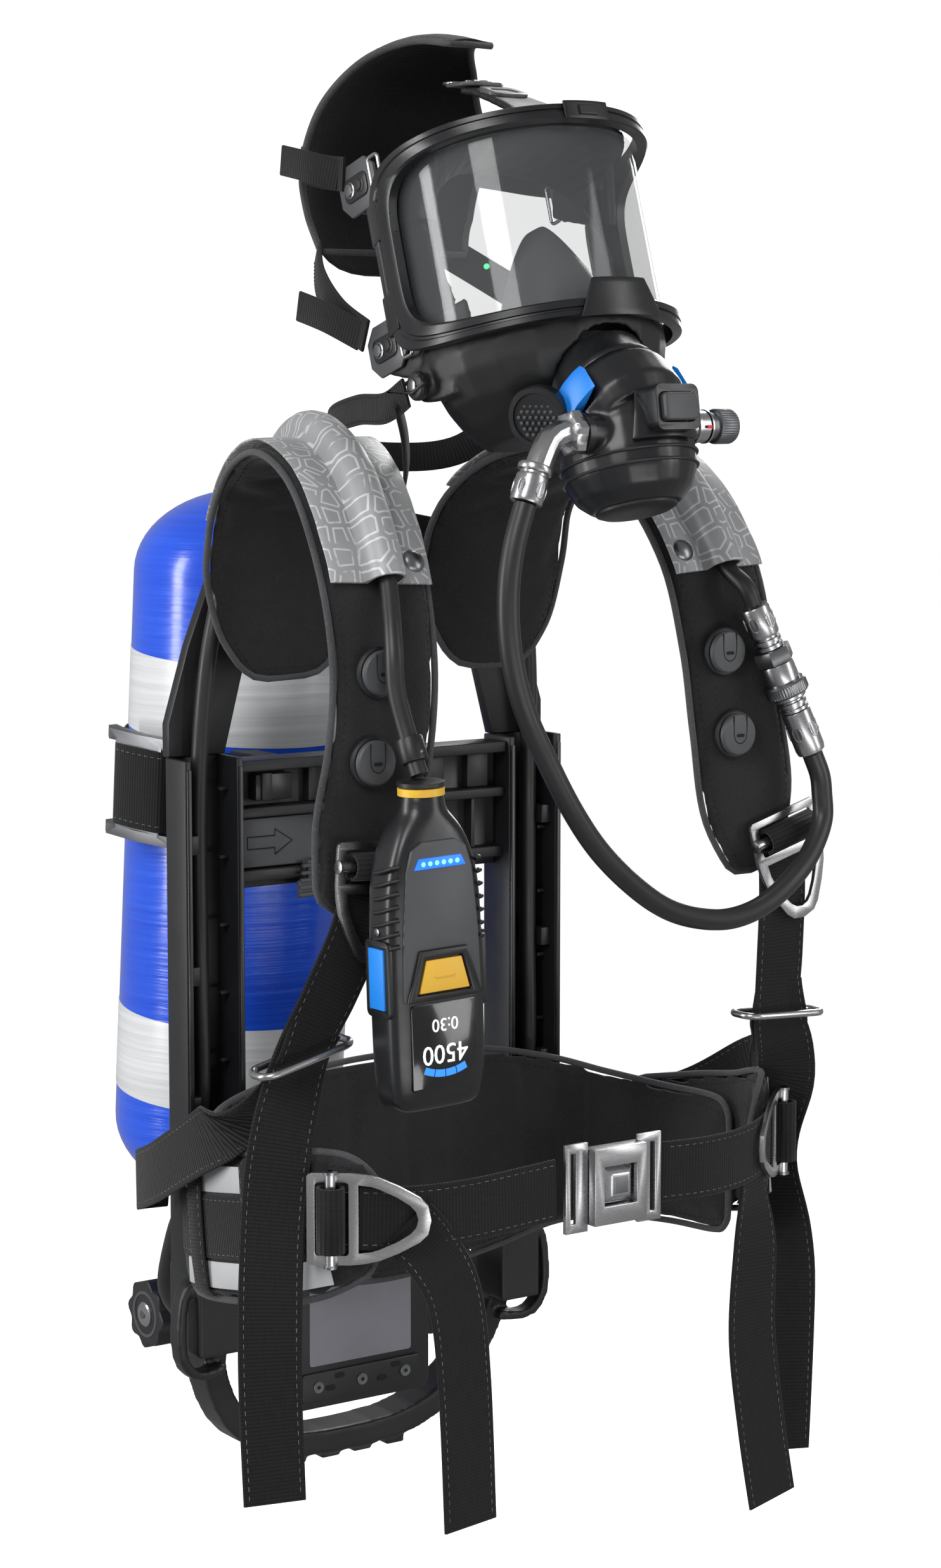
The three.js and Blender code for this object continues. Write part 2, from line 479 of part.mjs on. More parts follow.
// The visor's outline on its cylinder, as turn from the front and height: a squarish oval, evenly stepped.
function visorEdge(laps, growAngle = 0, growHeight = 0) {
  const corner = (v) => Math.sign(v) * Math.abs(v) ** 0.42;
  const dense = Array.from({ length: 721 }, (_, i) => {
    const a = (Math.PI * i) / 360;
    return new THREE.Vector2((MASK.wrap + growAngle) * corner(Math.cos(a)), (MASK.half + growHeight) * corner(Math.sin(a)));
  });
  const length = [0];
  const arc = rad(1) * MASK.radius;
  for (let i = 1; i < dense.length; i++) {
    const step = dense[i].clone().sub(dense[i - 1]);
    length.push(length[i - 1] + Math.hypot(step.x * arc, step.y));
  }
  return Array.from({ length: laps }, (_, k) => {
    const want = (length[720] * k) / laps;
    const i = Math.max(1, length.findIndex((l) => l > want));
    const p = dense[i - 1].clone().lerp(dense[i], (want - length[i - 1]) / (length[i] - length[i - 1]));
    return [p.x, p.y];
  });
}
const onVisor = (turn, height, r) => V(r * Math.sin(rad(turn)), -r * Math.cos(rad(turn)), height);

function visor() {
  const columns = 26;
  const rings = Array.from({ length: columns + 1 }, (_, i) => {
    const turn = lerp(-MASK.wrap + 5, MASK.wrap - 5, i / columns);
    const high = (MASK.half - 3) * (1 - Math.abs(turn / MASK.wrap) ** 4.8) ** (1 / 4.8);
    return [onVisor(turn, -high, 83), onVisor(turn, -high, 85.4), onVisor(turn, high, 85.4), onVisor(turn, high, 83)];
  });
  return loft(rings);
}

// The frame that clamps the visor, a closed loop of box section outside the glass's edge.
function visorFrame() {
  const inner = visorEdge(52, -16, -2);
  const outer = visorEdge(52, 3, 9);
  return loft(inner.map(([t0, h0], i) => {
    const [t1, h1] = outer[i];
    return [onVisor(t0, h0, 87.6), onVisor(t1, h1, 87.6), onVisor(t1, h1, 94), onVisor(t0, h0, 95)];
  }), true);
}
add("visor", visor(), clear, maskGroup);
add("visor_frame", visorFrame(), blackPlastic, maskGroup);

// The rubber face piece: a band from the visor's edge back to the face, a chin cup under it, and five strap lugs.
function faceBand() {
  const [laps, thickness] = [36, 4];
  const inner = visorEdge(laps, -2, 1);
  const outer = visorEdge(laps, -2, 5.5);
  return loft(inner.map(([turn, height], i) => {
    const a = (2 * Math.PI * i) / laps;
    const back = (grow) => V((66 + grow) * Math.cos(a), 18 - 26 * Math.abs(Math.cos(a)) + 10 * Math.sin(a),
      ((Math.sin(a) < 0 ? 92 : 66) + grow) * Math.sin(a));
    return [onVisor(...outer[i], 82.7), onVisor(turn, height, 79.4), back(0), back(thickness)];
  }), true);
}

const MUZZLE = [[-60.5, 85, 84], [-69, 84, 83], [-84, 81, 78], [-100, 73, 69], [-114, 60, 55], [-124, 44, 38]];
function muzzle(inset) {
  return loft([[inset ? -40 : -60.5, 85, 84], ...MUZZLE.slice(1)].map(([h, a, b], i, all) => {
    const [wide, deep] = [a - inset, b - inset];
    const z = i === all.length - 1 ? h + inset : h;
    return Array.from({ length: 20 }, (_, k) => {
      const t = (2 * Math.PI * k) / 20;
      return V(wide * Math.sin(t), t > Math.PI / 2 && t < 1.5 * Math.PI ? -40 * Math.cos(t) : -deep * Math.cos(t), z);
    });
  }));
}

// A lug: a flat tongue from the band to its buckle, with a raised buckle plate.
const lugs = [[-1, 46, 62], [1, 46, 62], [-1, 46, -46], [1, 46, -46]];
function lug([side, y, h]) {
  const root = h > 0 ? [side * 70, 0, h - 25] : [side * 66, -6, h - 10];
  const dip = h > 0 ? 0 : 6;
  return strip([[root[0], root[1] - 20, root[2], 40, 0, 0, side], [side * 78, 20, lerp(root[2], h, 0.5) - dip, 34, 0, 0, side],
    [side * 80, y + 8, h, 26, 0, 0, side]], flat(5.2), 6);
}
const browLug = strip([[0, -66, 66, 54, 1, 0, 0], [0, -38, 88, 40, 1, 0, 0], [0, -2, 112, 30, 1, 0, 0], [0, 12, 118, 28, 1, 0, 0]], flat(5), 6);
function maskSkirt() {
  const cup = muzzle(0).subtract(muzzle(3.5)).subtract(box(-120, 120, 22, 90, -140, -20));
  const studs = [-1, 1].map((side) => rod([side * 74, 12, -82], [side * 90, 12, -82], 7, 12));
  const bore = turned([[0, -60], [35, -60], [35, 20], [0, 20]], localPort, localPortAxis, 28);
  const tabs = [-1, 1].map((side) => strip([[side * 76, -10, -78, 34, 0, 0, side], [side * 79, 8, -80, 28, 0, 0, side],
    [side * 80, 22, -80, 20, 0, 0, side]], flat(5), 4));
  return join(faceBand().subtract(muzzle(3.5)), cup, ...lugs.map(lug), browLug, ...tabs, ...studs).subtract(bore).subtract(slotUnderGlass);
}
const toLocal = (p) => p.clone().applyQuaternion(maskGroup.quaternion.clone().invert());
const localPort = toLocal(portCentre.clone().sub(maskGroup.position));
const localPortAxis = toLocal(portAxis);
// Keeps the rubber clear of the frame and the glass.
const slotUnderGlass = rodZ(96, -71, -60, 48).subtract(rodZ(82.6, -72, -59, 48)).subtract(box(-100, 100, 20, 100, -80, -50));
add("face_piece", outerSkin(maskSkirt()), darkRubber, maskGroup);

// The port: the ring that the demand valve's spigot enters.
const portRing = turned([[PORT.bore, -20], [34.5, -20], [34.5, -4], [37, -4], [37, 1.2], [PORT.bore, 1.2], [PORT.bore, -20]],
  localPort, localPortAxis, 28);
add("mask_port", portRing, blackPlastic, maskGroup);

// The inner nose cup, an open hood over the nose and mouth.
function noseCup(inset) {
  return loft([[-92, 34, 42], [-70, 40, 44], [-48, 38, 40], [-26, 26, 32], [-6, 12, 20]].map(([h, a, b], i, all) => {
    const z = i === all.length - 1 ? h - inset : i === 0 ? h - inset * 3 : h;
    return Array.from({ length: 18 }, (_, k) => {
      const t = (2 * Math.PI * k) / 18;
      return V((a - inset) * Math.sin(t), -22 - (b - inset) * Math.cos(t) * (Math.cos(t) < 0 ? 0.5 : 1) + (h + 92) * 0.06, z);
    });
  }));
}
const noseShell = noseCup(0).subtract(noseCup(3)).subtract(box(-60, 60, -14, 60, -120, 10));
add("nose_cup", noseShell, darkRubber, maskGroup);

// The head harness: a panel cupped round the back of the head, and the straps that reach the lugs.
const cupped = (width) => {
  const across = [-1, -0.6, -0.2, 0.2, 0.6, 1];
  const depth = 0.0021 * width * width;
  const outer = across.map((a) => [(a * width) / 2, -depth * a * a]);
  return [...outer.map(([a, o]) => [a, o - 1.2]), ...outer.reverse().map(([a, o]) => [a, o + 1.2])];
};
const harnessPanel = strip([
  [0, -110, 740, 34], [0, -76, 746, 52], [0, -40, 744, 96], [0, -6, 726, 128], [0, 18, 692, 140], [0, 27, 652, 142],
  [0, 20, 616, 132], [0, 6, 590, 118]].map((s) => [...s, 1, 0, 0]), cupped, 18);
const sideStraps = [-1, 1].flatMap((side) => [
  strip(mirror(side, [[66, -8, 664, 22], [78, -30, 660, 22], [84, -62, 655, 22], [86, -90, 652, 22]]).map((s) => [...s, 0, 0, side]), flat(2.4), 6),
  strip(mirror(side, [[54, -8, 606, 22], [74, -42, 584, 22], [86, -84, 562, 22], [88, -118, 548, 22]]).map((s) => [...s, 0, 0.3, side]), flat(2.4), 6)]);
const strapTails = [-1, 1].flatMap((side) => [
  strip(mirror(side, [[86, -84, 652, 20], [94, -60, 658, 20], [92, -24, 664, 20]]).map((s) => [...s, 0, 0, side]), flat(2.4), 4),
  strip(mirror(side, [[88, -112, 548, 20], [96, -84, 560, 20], [96, -50, 568, 20]]).map((s) => [...s, 0, 0.2, side]), flat(2.4), 4)]);
add("head_harness", join(harnessPanel, ...sideStraps, ...strapTails), blackFabric);

// The neck strap: a loop behind the neck from one stud to the other, with a free tail.
const neckLoop = strip([
  [-93, -172, 512, 20], [-92, -146, 502, 20], [-78, -92, 500, 20], [-58, -28, 490, 20], [-26, 6, 472, 20], [18, 8, 466, 20],
  [54, -14, 470, 20], [80, -50, 494, 20], [90, -110, 504, 20], [93, -172, 512, 20]].map((s) => [...s, 0, 0, 1]), flat(2.2), 26);
const neckTail = strip([[-93, -160, 508, 20], [-80, -150, 486, 20], [-62, -126, 464, 20], [-54, -110, 446, 20]]
  .map((s) => [...s, 0.6, 0.7, 0.4]), flat(2.2), 5);
const keeper = box(-97, -91.4, -182, -152, 500, 524);
add("neck_strap", join(neckLoop, neckTail, keeper), webbing);

// ---------------------------------------------------------------- lumbar pad, hip pads and belt
// The +X side of the belt lies drawn in a little, as it does when it is pulled tighter than the other side.
const DRAWN = { x: 0.94, y: 0.87 };
const lumbarHalf = [
  [188, -190, -26, 88], [190, -150, -26, 98], [184, -104, -27, 100], [170, -52, -28, 108], [138, -18, -29, 124],
  [88, -11, -30, 148], [40, -10, -31, 160]];
const lumbarRight = lumbarHalf.map(([x, y, ...rest]) => [x > 160 ? x * DRAWN.x : x, Math.max(y, -172), ...rest]);
const lumbarLine = [...mirror(-1, lumbarHalf), [0, -10, -32, 164], ...lumbarRight.reverse()].map((s) => [...s, 0, 0, 1]);
add("lumbar_pad", strip(lumbarLine, padded(14), 30), blackFabric);
const hipLine = (side) => mirror(side, [[193, -60, -30, 96], [203, -104, -24, 98], [206, -150, -16, 98], [204, -194, -8, 96],
  [195, -226, 2, 92], [178, -246, 8, 76], [162, -256, 10, 40]])
  .map(([x, y, ...rest]) => [...(side > 0 ? [x * DRAWN.x - 1, y * DRAWN.y] : [x, y]), ...rest, 0, 0, side]);
for (const side of [-1, 1]) add("hip_pad_" + nameOf(side), strip(hipLine(side), padded(10), 14), blackFabric);

// ---------------------------------------------------------------- roller buckles
// A plate with a window that the roller crosses, and a D loop to pull on. Local x is the roller's line, and local y
// runs from the roller to the loop.
const LOOP = { thickness: 3, roller: 3.4, lift: 3.6, reach: 62 };
function rollerBuckle() {
  const side = [[27, -15], [29, -11], [29, 12], [26, 30], [14, 55]];
  const outline = [...side, [0, LOOP.reach], ...mirror(-1, side).reverse()];
  const window = [[-23, -10], [23, -10], [23, 11], [-23, 11]];
  const eye = [[-22, 17], [22, 17], [19, 30], [9, 49], [0, 54], [-9, 49], [-19, 30]];
  const plate = slab(outline, "xy", -LOOP.thickness / 2, LOOP.thickness / 2, [[...window].reverse(), [...eye].reverse()]);
  return join(plate, rod([-31, 0, LOOP.lift], [31, 0, LOOP.lift], LOOP.roller, 12));
}
// Webbing wound round the roller.
const wound = () => rod([-21.5, 0, LOOP.lift], [21.5, 0, LOOP.lift], 7, 14)
  .subtract(rod([-23, 0, LOOP.lift], [23, 0, LOOP.lift], LOOP.roller + 0.6, 14));

// Puts a solid's local x and y along two world directions, at a point.
function placed(made, origin, alongX, alongY) {
  const x = vec(alongX).normalize();
  const z = x.clone().cross(vec(alongY)).normalize();
  return made.transform(new THREE.Matrix4().makeBasis(x, z.clone().cross(x), z).setPosition(...vec(origin)).toArray());
}
const turnXZ = (degrees) => [[Math.cos(rad(degrees)), 0, Math.sin(rad(degrees))], [Math.sin(rad(degrees)), 0, -Math.cos(rad(degrees))]];
const shoulderBuckles = { left: [[-154, -228, 222], -3], right: [[178, -226, 217], 16] };
for (const side of ["left", "right"]) {
  const [origin, turn] = shoulderBuckles[side];
  // The plate's outer face looks away from the wearer, along -Y.
  const [across, down] = turnXZ(turn);
  add("shoulder_buckle_" + side, placed(rollerBuckle(), origin, across.map((v) => -v), down), steel);
}
const waistBuckles = { left: [[-199, -244.6, 8], [0, 0, -1], [0.79, -0.61, 0]], right: [[185, -213.6, 8], [0, 0, 1], [-0.77, -0.64, 0]] };
for (const side of ["left", "right"]) add("waist_buckle_" + side, placed(rollerBuckle(), ...waistBuckles[side]), steel);

// ---------------------------------------------------------------- webbing
const band = (stations, steps, width = WEB.width) =>
  strip(stations.map(([x, y, z, ...across]) => [x, y, z, width, ...across]), flat(WEB.thickness), steps);
const KEEPER = { left: [-200, -213, 104], right: [182, -215, 91] };
const shoulderRuns = {
  left: [
    [[-154, -226, 218, 1, 0, 0], [-157, -223, 204, 1, 0, -0.1], [-166, -221, 175, 1, 0, -0.2], [-182, -218, 142, 1, 0, -0.3],
      [...KEEPER.left, 1, 0, -0.2], [-221, -221, 50, 0.9, -0.4, 0], [-226, -219, -10, 0.75, -0.66, 0],
      [-228, -219, -90, 0.9, -0.4, 0], [-227, -222, -174, 0.96, -0.3, 0]],
    [[-190, -215, 122, 1, 0, -0.25], [-202, -207, 96, 1, 0.3, -0.2], [-218, -176, 64, 0.5, 0.8, -0.6], [-221, -120, 34, 0, 0.5, -1],
      [-217, -60, 4, 0, 0.3, -1], [-204, -14, -12, 0, 0, -1], [-186, 12, -20, 0, 0, -1], [-160, 22, -24, 0, 0, -1]]],
  right: [
    [[177, -224, 213, 1, 0, 0.25], [180, -220.4, 201, 1, 0, 0.2], [181, -220, 170, 1, 0, 0.1], [182, -217, 130, 1, 0, 0],
      [...KEEPER.right, 1, 0, 0], [196, -207, 62, 0.9, -0.4, 0], [214, -188, 24, 0.1, -1, 0], [212, -182, -20, 0, -1, 0],
      [213, -190, -72, 0.4, -0.9, 0], [206, -200, -130, 0.9, -0.5, 0], [198, -208, -222, 1, -0.2, 0]],
    [[182, -216, 110, 1, 0, 0], [187, -210, 88, 1, -0.3, 0], [207, -185, 66, 0.5, -0.8, 0.6], [216, -140, 36, 0, -0.5, 1],
      [212, -90, 8, 0, -0.3, 1], [202, -36, -12, 0, 0, 1], [186, 4, -20, 0, 0, 1], [160, 22, -24, 0, 0, 1]]],
};
for (const side of ["left", "right"]) {
  const [origin, turn] = shoulderBuckles[side];
  const [across, down] = turnXZ(turn);
  const roll = placed(wound(), origin, across.map((v) => -v), down);
  add("shoulder_webbing_" + side, join(roll, ...shoulderRuns[side].map((run) => band(run, 22))), webbing);
}

// The flattened wire loops that keep each strap's two runs together.
function keeperLoop(origin, turn) {
  const outline = rounded(33, 12, 9, 3);
  const ring = outline.map(([a, b], i) => {
    const before = outline.at(i - 1);
    const after = outline[(i + 1) % outline.length];
    const out = V(after[1] - before[1], before[0] - after[0], 0).normalize();
    return Array.from({ length: 6 }, (_, k) => {
      const t = (Math.PI * k) / 3;
      return V(a, b, 0).addScaledVector(out, 2.5 * Math.cos(t)).add(V(0, 0, 2.5 * Math.sin(t)));
    });
  });
  return loft(ring, true).rotate([0, turn, 0]).translate(origin);
}
add("strap_keeper_left", keeperLoop(KEEPER.left, -14), steel);
add("strap_keeper_right", keeperLoop(KEEPER.right, 3), steel);

// The waist belt's two halves, each with its roll at the hip and its free tail.
const beltRuns = {
  left: [[-196.8, -242, 8], [-179.5, -255.3, 7.5], [-162, -264.5, 7], [-138, -268, 6], [-108, -269, 6], [-74, -267, 7], [-42, -264, 8]],
  right: [[182.6, -211, 8], [167.1, -224.6, 7.5], [151.5, -237, 7], [130, -249, 6], [104, -259, 6], [74, -265, 7], [42, -264, 8]],
};
const beltTails = {
  left: [[-159, -268, 4, 0.5, -0.4, 1], [-141, -269, -16, 0.8, 0, 0.6], [-121, -266, -50, 1, 0, 0.15], [-108, -258, -110, 1, 0, 0],
    [-98, -250, -206, 1, 0, 0]],
  right: [[140, -241.2, -4.1, -0.86, -0.5, 0.03], [140.5, -241.3, -26, -0.9, -0.4, 0], [141, -243, -60, -1, -0.1, 0.05],
    [140, -242, -120, -1, 0, 0], [152, -238, -186, -1, 0, 0], [166, -234, -244, -1, 0, 0]],
};
for (const side of ["left", "right"]) {
  const roll = placed(wound(), ...waistBuckles[side]);
  const run = band(beltRuns[side].map((p) => [...p, 0, 0, side === "left" ? 1 : -1]), 16);
  add("belt_webbing_" + side, outerSkin(join(roll, run, band(beltTails[side], 14))), webbing);
}

// ---------------------------------------------------------------- belt buckle
// The socket half with its recessed push button, and the tongue half that plugs into it.
const B = BELT;
const socket = join(box(-20, 22, B.front - 9, B.front + 3, B.z - 25, B.z + 25), box(20, 39, B.front - 2, B.front + 1, B.z - 29, B.z + 29))
  .subtract(box(-12, 14, B.front - 12, B.front - 1, B.z - 13, B.z + 13))
  .subtract(box(30, 34, B.front - 4, B.front + 3, B.z - 23, B.z + 23))
  .subtract(box(-22, -8, B.front - 0.5, B.front + 2, B.z - 15, B.z + 15));
add("belt_buckle", socket, steel);
const tongue = join(box(-38, -20 - GAP, B.front - 2, B.front + 1, B.z - 29, B.z + 29),
  box(-21, -8 - GAP, B.front, B.front + 1.5, B.z - 14, B.z + 14)).subtract(box(-34, -30, B.front - 4, B.front + 3, B.z - 23, B.z + 23));
add("belt_tongue", tongue, steel);
add("belt_button", box(-11, 13, B.front - 8.4, B.front - 4.2, B.z - 12, B.z + 12), greyMetal);

export default part;
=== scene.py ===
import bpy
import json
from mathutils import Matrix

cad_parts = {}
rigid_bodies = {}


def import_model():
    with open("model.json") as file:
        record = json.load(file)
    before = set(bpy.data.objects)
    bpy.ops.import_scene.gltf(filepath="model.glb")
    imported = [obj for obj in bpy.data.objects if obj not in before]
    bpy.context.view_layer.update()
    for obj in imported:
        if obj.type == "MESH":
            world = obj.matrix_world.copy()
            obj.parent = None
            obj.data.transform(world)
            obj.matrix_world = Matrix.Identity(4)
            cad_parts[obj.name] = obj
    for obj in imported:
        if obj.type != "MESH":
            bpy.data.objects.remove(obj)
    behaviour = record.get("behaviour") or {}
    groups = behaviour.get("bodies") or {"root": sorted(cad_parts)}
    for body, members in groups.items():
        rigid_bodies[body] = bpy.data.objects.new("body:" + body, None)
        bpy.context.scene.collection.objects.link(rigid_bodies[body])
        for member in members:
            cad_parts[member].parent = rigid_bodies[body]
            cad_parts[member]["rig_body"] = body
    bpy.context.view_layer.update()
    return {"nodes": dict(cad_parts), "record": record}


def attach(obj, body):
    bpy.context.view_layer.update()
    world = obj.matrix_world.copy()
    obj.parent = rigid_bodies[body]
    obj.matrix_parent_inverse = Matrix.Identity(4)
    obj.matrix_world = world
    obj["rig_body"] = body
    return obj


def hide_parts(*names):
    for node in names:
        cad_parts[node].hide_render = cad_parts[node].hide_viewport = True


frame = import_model()

import json
import math
import random

import bmesh
import bpy
from mathutils import Matrix, Vector, noise
from mathutils.bvhtree import BVHTree

random.seed(11)
MM = 0.001
NODES = frame["nodes"]
SLOTS = {s["node"]: s["material_slot"] for s in frame["record"]["subparts"]}
BODY = {n: o["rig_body"] for n, o in NODES.items()}
SCENE = bpy.context.scene


# ---------------------------------------------------------------- camera, light and world
def aim(obj, target):
    obj.rotation_mode = "QUATERNION"
    obj.rotation_quaternion = (Vector(target) - obj.location).to_track_quat("-Z", "Y")


def added(name, data):
    """A new object in the scene, holding this data."""
    obj = bpy.data.objects.new(name, data)
    SCENE.collection.objects.link(obj)
    return obj


camera_data = bpy.data.cameras.new("camera")
camera_data.lens = 78.6
camera = added("camera", camera_data)
camera.location = (-1.3094, -1.98, 0.5303)
aim(camera, (0, -0.110, 0.250))
SCENE.camera = camera


def area_light(name, place, target, size, power):
    data = bpy.data.lights.new(name, "AREA")
    data.shape = "RECTANGLE"
    data.size, data.size_y = size
    data.energy = power
    light = added(name, data)
    light.location = place
    aim(light, target)


area_light("key_light", (-2.4, -1.6, 2.2), (0, 0, 0.25), (1.1, 2.2), 58)
area_light("fill_light", (1.9, -2.6, 1.0), (0, -0.1, 0.3), (1.0, 2.6), 30)
area_light("rim_light", (2.2, 1.6, 1.6), (0, 0, 0.3), (0.7, 2.4), 60)
area_light("side_light", (-2.6, 0.9, 0.7), (0, 0.1, 0.2), (0.5, 2.4), 48)
area_light("low_light", (-0.4, -2.6, -0.5), (0, 0, 0.1), (2.0, 0.5), 14)
world = bpy.data.worlds.new("studio")
SCENE.world = world
world.use_nodes = True
world.node_tree.nodes["Background"].inputs["Color"].default_value = (1, 1, 1, 1)
world.node_tree.nodes["Background"].inputs["Strength"].default_value = 0.32
SCENE.view_settings.view_transform = "Standard"


# ---------------------------------------------------------------- materials
class Shade:
    """A small builder of node materials on object coordinates, or on a piece's own UV in metres."""

    def __init__(self, name, color, rough, metallic=0.0, **sockets):
        self.material = bpy.data.materials.new(name)
        self.material.use_nodes = True
        self.tree = self.material.node_tree
        self.surface = self.tree.nodes["Principled BSDF"]
        self.surface.inputs["Base Color"].default_value = (*color, 1)
        self.surface.inputs["Roughness"].default_value = rough
        self.surface.inputs["Metallic"].default_value = metallic
        for socket, value in sockets.items():
            self.surface.inputs[socket.replace("_", " ")].default_value = value
        self.color, self.rough = color, rough
        self.coords = self.add("ShaderNodeTexCoord").outputs["Object"]
        self.tint = None
        self.normal = None

    def add(self, kind, **settings):
        node = self.tree.nodes.new(kind)
        for key, value in settings.items():
            setattr(node, key, value)
        return node

    def link(self, out, into):
        self.tree.links.new(out, into)

    def use_uv(self):
        self.coords = self.add("ShaderNodeTexCoord").outputs["UV"]
        return self

    def stretched(self, scale):
        mapping = self.add("ShaderNodeMapping")
        mapping.inputs["Scale"].default_value = scale
        self.link(self.coords, mapping.inputs["Vector"])
        return mapping.outputs["Vector"]

    def noise(self, scale, detail=3.0, stretch=(1, 1, 1), roughness=0.55):
        node = self.add("ShaderNodeTexNoise")
        node.inputs["Scale"].default_value = scale
        node.inputs["Detail"].default_value = detail
        node.inputs["Roughness"].default_value = roughness
        self.link(self.stretched(stretch), node.inputs["Vector"])
        return node.outputs["Fac"]

    def math(self, operation, a, b=0.0, clamp=False):
        node = self.add("ShaderNodeMath", operation=operation, use_clamp=clamp)
        for socket, value in zip(node.inputs, (a, b)):
            if isinstance(value, (int, float)):
                socket.default_value = value
            else:
                self.link(value, socket)
        return node.outputs[0]

    def ranged(self, value, low, high, to_low=0.0, to_high=1.0):
        node = self.add("ShaderNodeMapRange")
        for i, v in enumerate((low, high, to_low, to_high)):
            node.inputs[i + 1].default_value = v
        self.link(value, node.inputs[0])
        return node.outputs[0]

    def paint(self, mask, color):
        """Mixes a colour over the base where mask is 1."""
        node = self.add("ShaderNodeMix", data_type="RGBA")
        self.link(mask, node.inputs[0])
        if self.tint is None:
            node.inputs[6].default_value = (*self.color, 1)
        else:
            self.link(self.tint, node.inputs[6])
        node.inputs[7].default_value = (*color, 1)
        self.tint = node.outputs[2]
        self.link(self.tint, self.surface.inputs["Base Color"])
        return self

    def roughen(self, mask, low, high):
        self.link(self.ranged(mask, 0.25, 0.75, low, high), self.surface.inputs["Roughness"])
        return self

    def bump(self, height, strength, distance):
        node = self.add("ShaderNodeBump")
        node.inputs["Strength"].default_value = strength
        node.inputs["Distance"].default_value = distance
        self.link(height, node.inputs["Height"])
        if self.normal is not None:
            self.link(self.normal, node.inputs["Normal"])
        self.normal = node.outputs["Normal"]
        self.link(self.normal, self.surface.inputs["Normal"])
        return self

    def wear(self, color, start=0.56, end=0.66):
        pointy = self.add("ShaderNodeNewGeometry").outputs["Pointiness"]
        edge = self.ranged(pointy, start, end)
        return self.paint(self.math("MULTIPLY", edge, self.ranged(self.noise(60), 0.4, 0.65)), color)


def scaled(color, k):
    return tuple(min(1, c * k) for c in color)


def plastic(name, color, rough, grain=0.15, **sockets):
    s = Shade(name, color, rough, **sockets)
    s.paint(s.ranged(s.noise(14, 4), 0.35, 0.75, 0, 0.6), scaled(color, 1.45))
    s.roughen(s.noise(30, 4), rough - 0.07, rough + 0.09)
    s.bump(s.noise(1500, 2), grain, 0.0004)
    s.wear(scaled(color, 2.0))
    return s.material


def metal(name, color, rough, stretch=(1, 1, 12), grain=0.25, **sockets):
    s = Shade(name, color, rough, 1.0, **sockets)
    s.paint(s.ranged(s.noise(45, 4), 0.3, 0.8, 0, 0.5), scaled(color, 0.8))
    s.roughen(s.noise(240, 3, stretch), rough - 0.03, rough + 0.06)
    s.bump(s.noise(420, 2, stretch), grain * 0.22, 0.00012)
    s.wear(scaled(color, 1.15))
    return s.material


def cloth(name, color, rough=0.92, weave=900, sheen=0.14):
    s = Shade(name, color, rough, Sheen_Weight=sheen, Sheen_Roughness=0.5, Specular_IOR_Level=0.22)
    cells = s.add("ShaderNodeTexVoronoi")
    cells.inputs["Scale"].default_value = weave
    s.link(s.coords, cells.inputs["Vector"])
    s.paint(s.ranged(s.noise(24, 5), 0.3, 0.75, 0, 0.8), scaled(color, 1.7))
    s.paint(s.ranged(s.noise(650, 2), 0.52, 0.72, 0, 0.5), scaled(color, 2.2))
    s.bump(cells.outputs["Distance"], 0.55, 0.0006)
    s.bump(s.noise(38, 4), 0.35, 0.003)
    return s.material


def woven_strap(name, color, rib=0.0019, lift=0.5):
    """Webbing: fine raised rib lines across its length with a painted highlight on their crests, from the
    piece's UV in metres (x along, y across).
    """
    s = Shade(name, color, 0.82, Sheen_Weight=0.12, Sheen_Roughness=0.45, Specular_IOR_Level=0.25).use_uv()
    split = s.add("ShaderNodeSeparateXYZ")
    s.link(s.coords, split.inputs[0])
    along, across = split.outputs[0], split.outputs[1]
    ribs_and_highlight = s.math("ABSOLUTE", s.math("SINE", s.math("MULTIPLY", along, math.pi / rib)))
    threads = s.math("ABSOLUTE", s.math("SINE", s.math("MULTIPLY", across, math.pi / 0.0016)))
    # painted highlight: the rib crests, raised by the same mask in the bump, are painted lighter
    s.paint(s.ranged(ribs_and_highlight, 0.1, 0.9, 0.0, 0.75), scaled(color, 2.3))
    s.paint(s.ranged(s.noise(90, 4, (1, 6, 1)), 0.35, 0.75, 0, 0.55), scaled(color, 0.6))
    s.bump(s.math("ADD", ribs_and_highlight, s.math("MULTIPLY", threads, 0.3)), lift, 0.0007)
    return s.material


PALETTE = {"black": (0.0105, 0.011, 0.0125), "soft_black": (0.0085, 0.0088, 0.0095),
           "charcoal": (0.0150, 0.0150, 0.0160), "steel": (0.47, 0.47, 0.48),
           "grey_metal": (0.20, 0.205, 0.215), "blue": (0.013, 0.085, 0.72), "azure": (0.012, 0.22, 0.78),
           "yellow": (0.75, 0.42, 0.035), "binding": (0.050, 0.051, 0.055),
           "silver_cloth": (0.36, 0.365, 0.375), "thread": (0.085, 0.085, 0.09),
           "dark_thread_and_shade": (0.004, 0.004, 0.004),}
black_plastic = plastic("black_plastic", PALETTE["black"], 0.42)
satin_plastic = plastic("satin_plastic", scaled(PALETTE["black"], 0.9), 0.30, 0.06)
grey_plastic = plastic("grey_plastic", (0.055, 0.057, 0.062), 0.46)
rubber = plastic("rubber", PALETTE["soft_black"], 0.46, 0.22)
hose_rubber = plastic("hose_rubber", (0.014, 0.014, 0.015), 0.42, 0.10)
pad_cloth = cloth("pad_cloth", PALETTE["charcoal"])
panel_cloth = cloth("panel_cloth", (0.008, 0.008, 0.0085), 0.95, 520, 0.14)
binding_cloth = cloth("binding_cloth", PALETTE["binding"], 0.8, 1400, 0.15)
strap_cloth = woven_strap("strap_cloth", (0.0065, 0.0065, 0.007), 0.0024)
thread = plastic("thread", PALETTE["thread"], 0.8, 0.1)
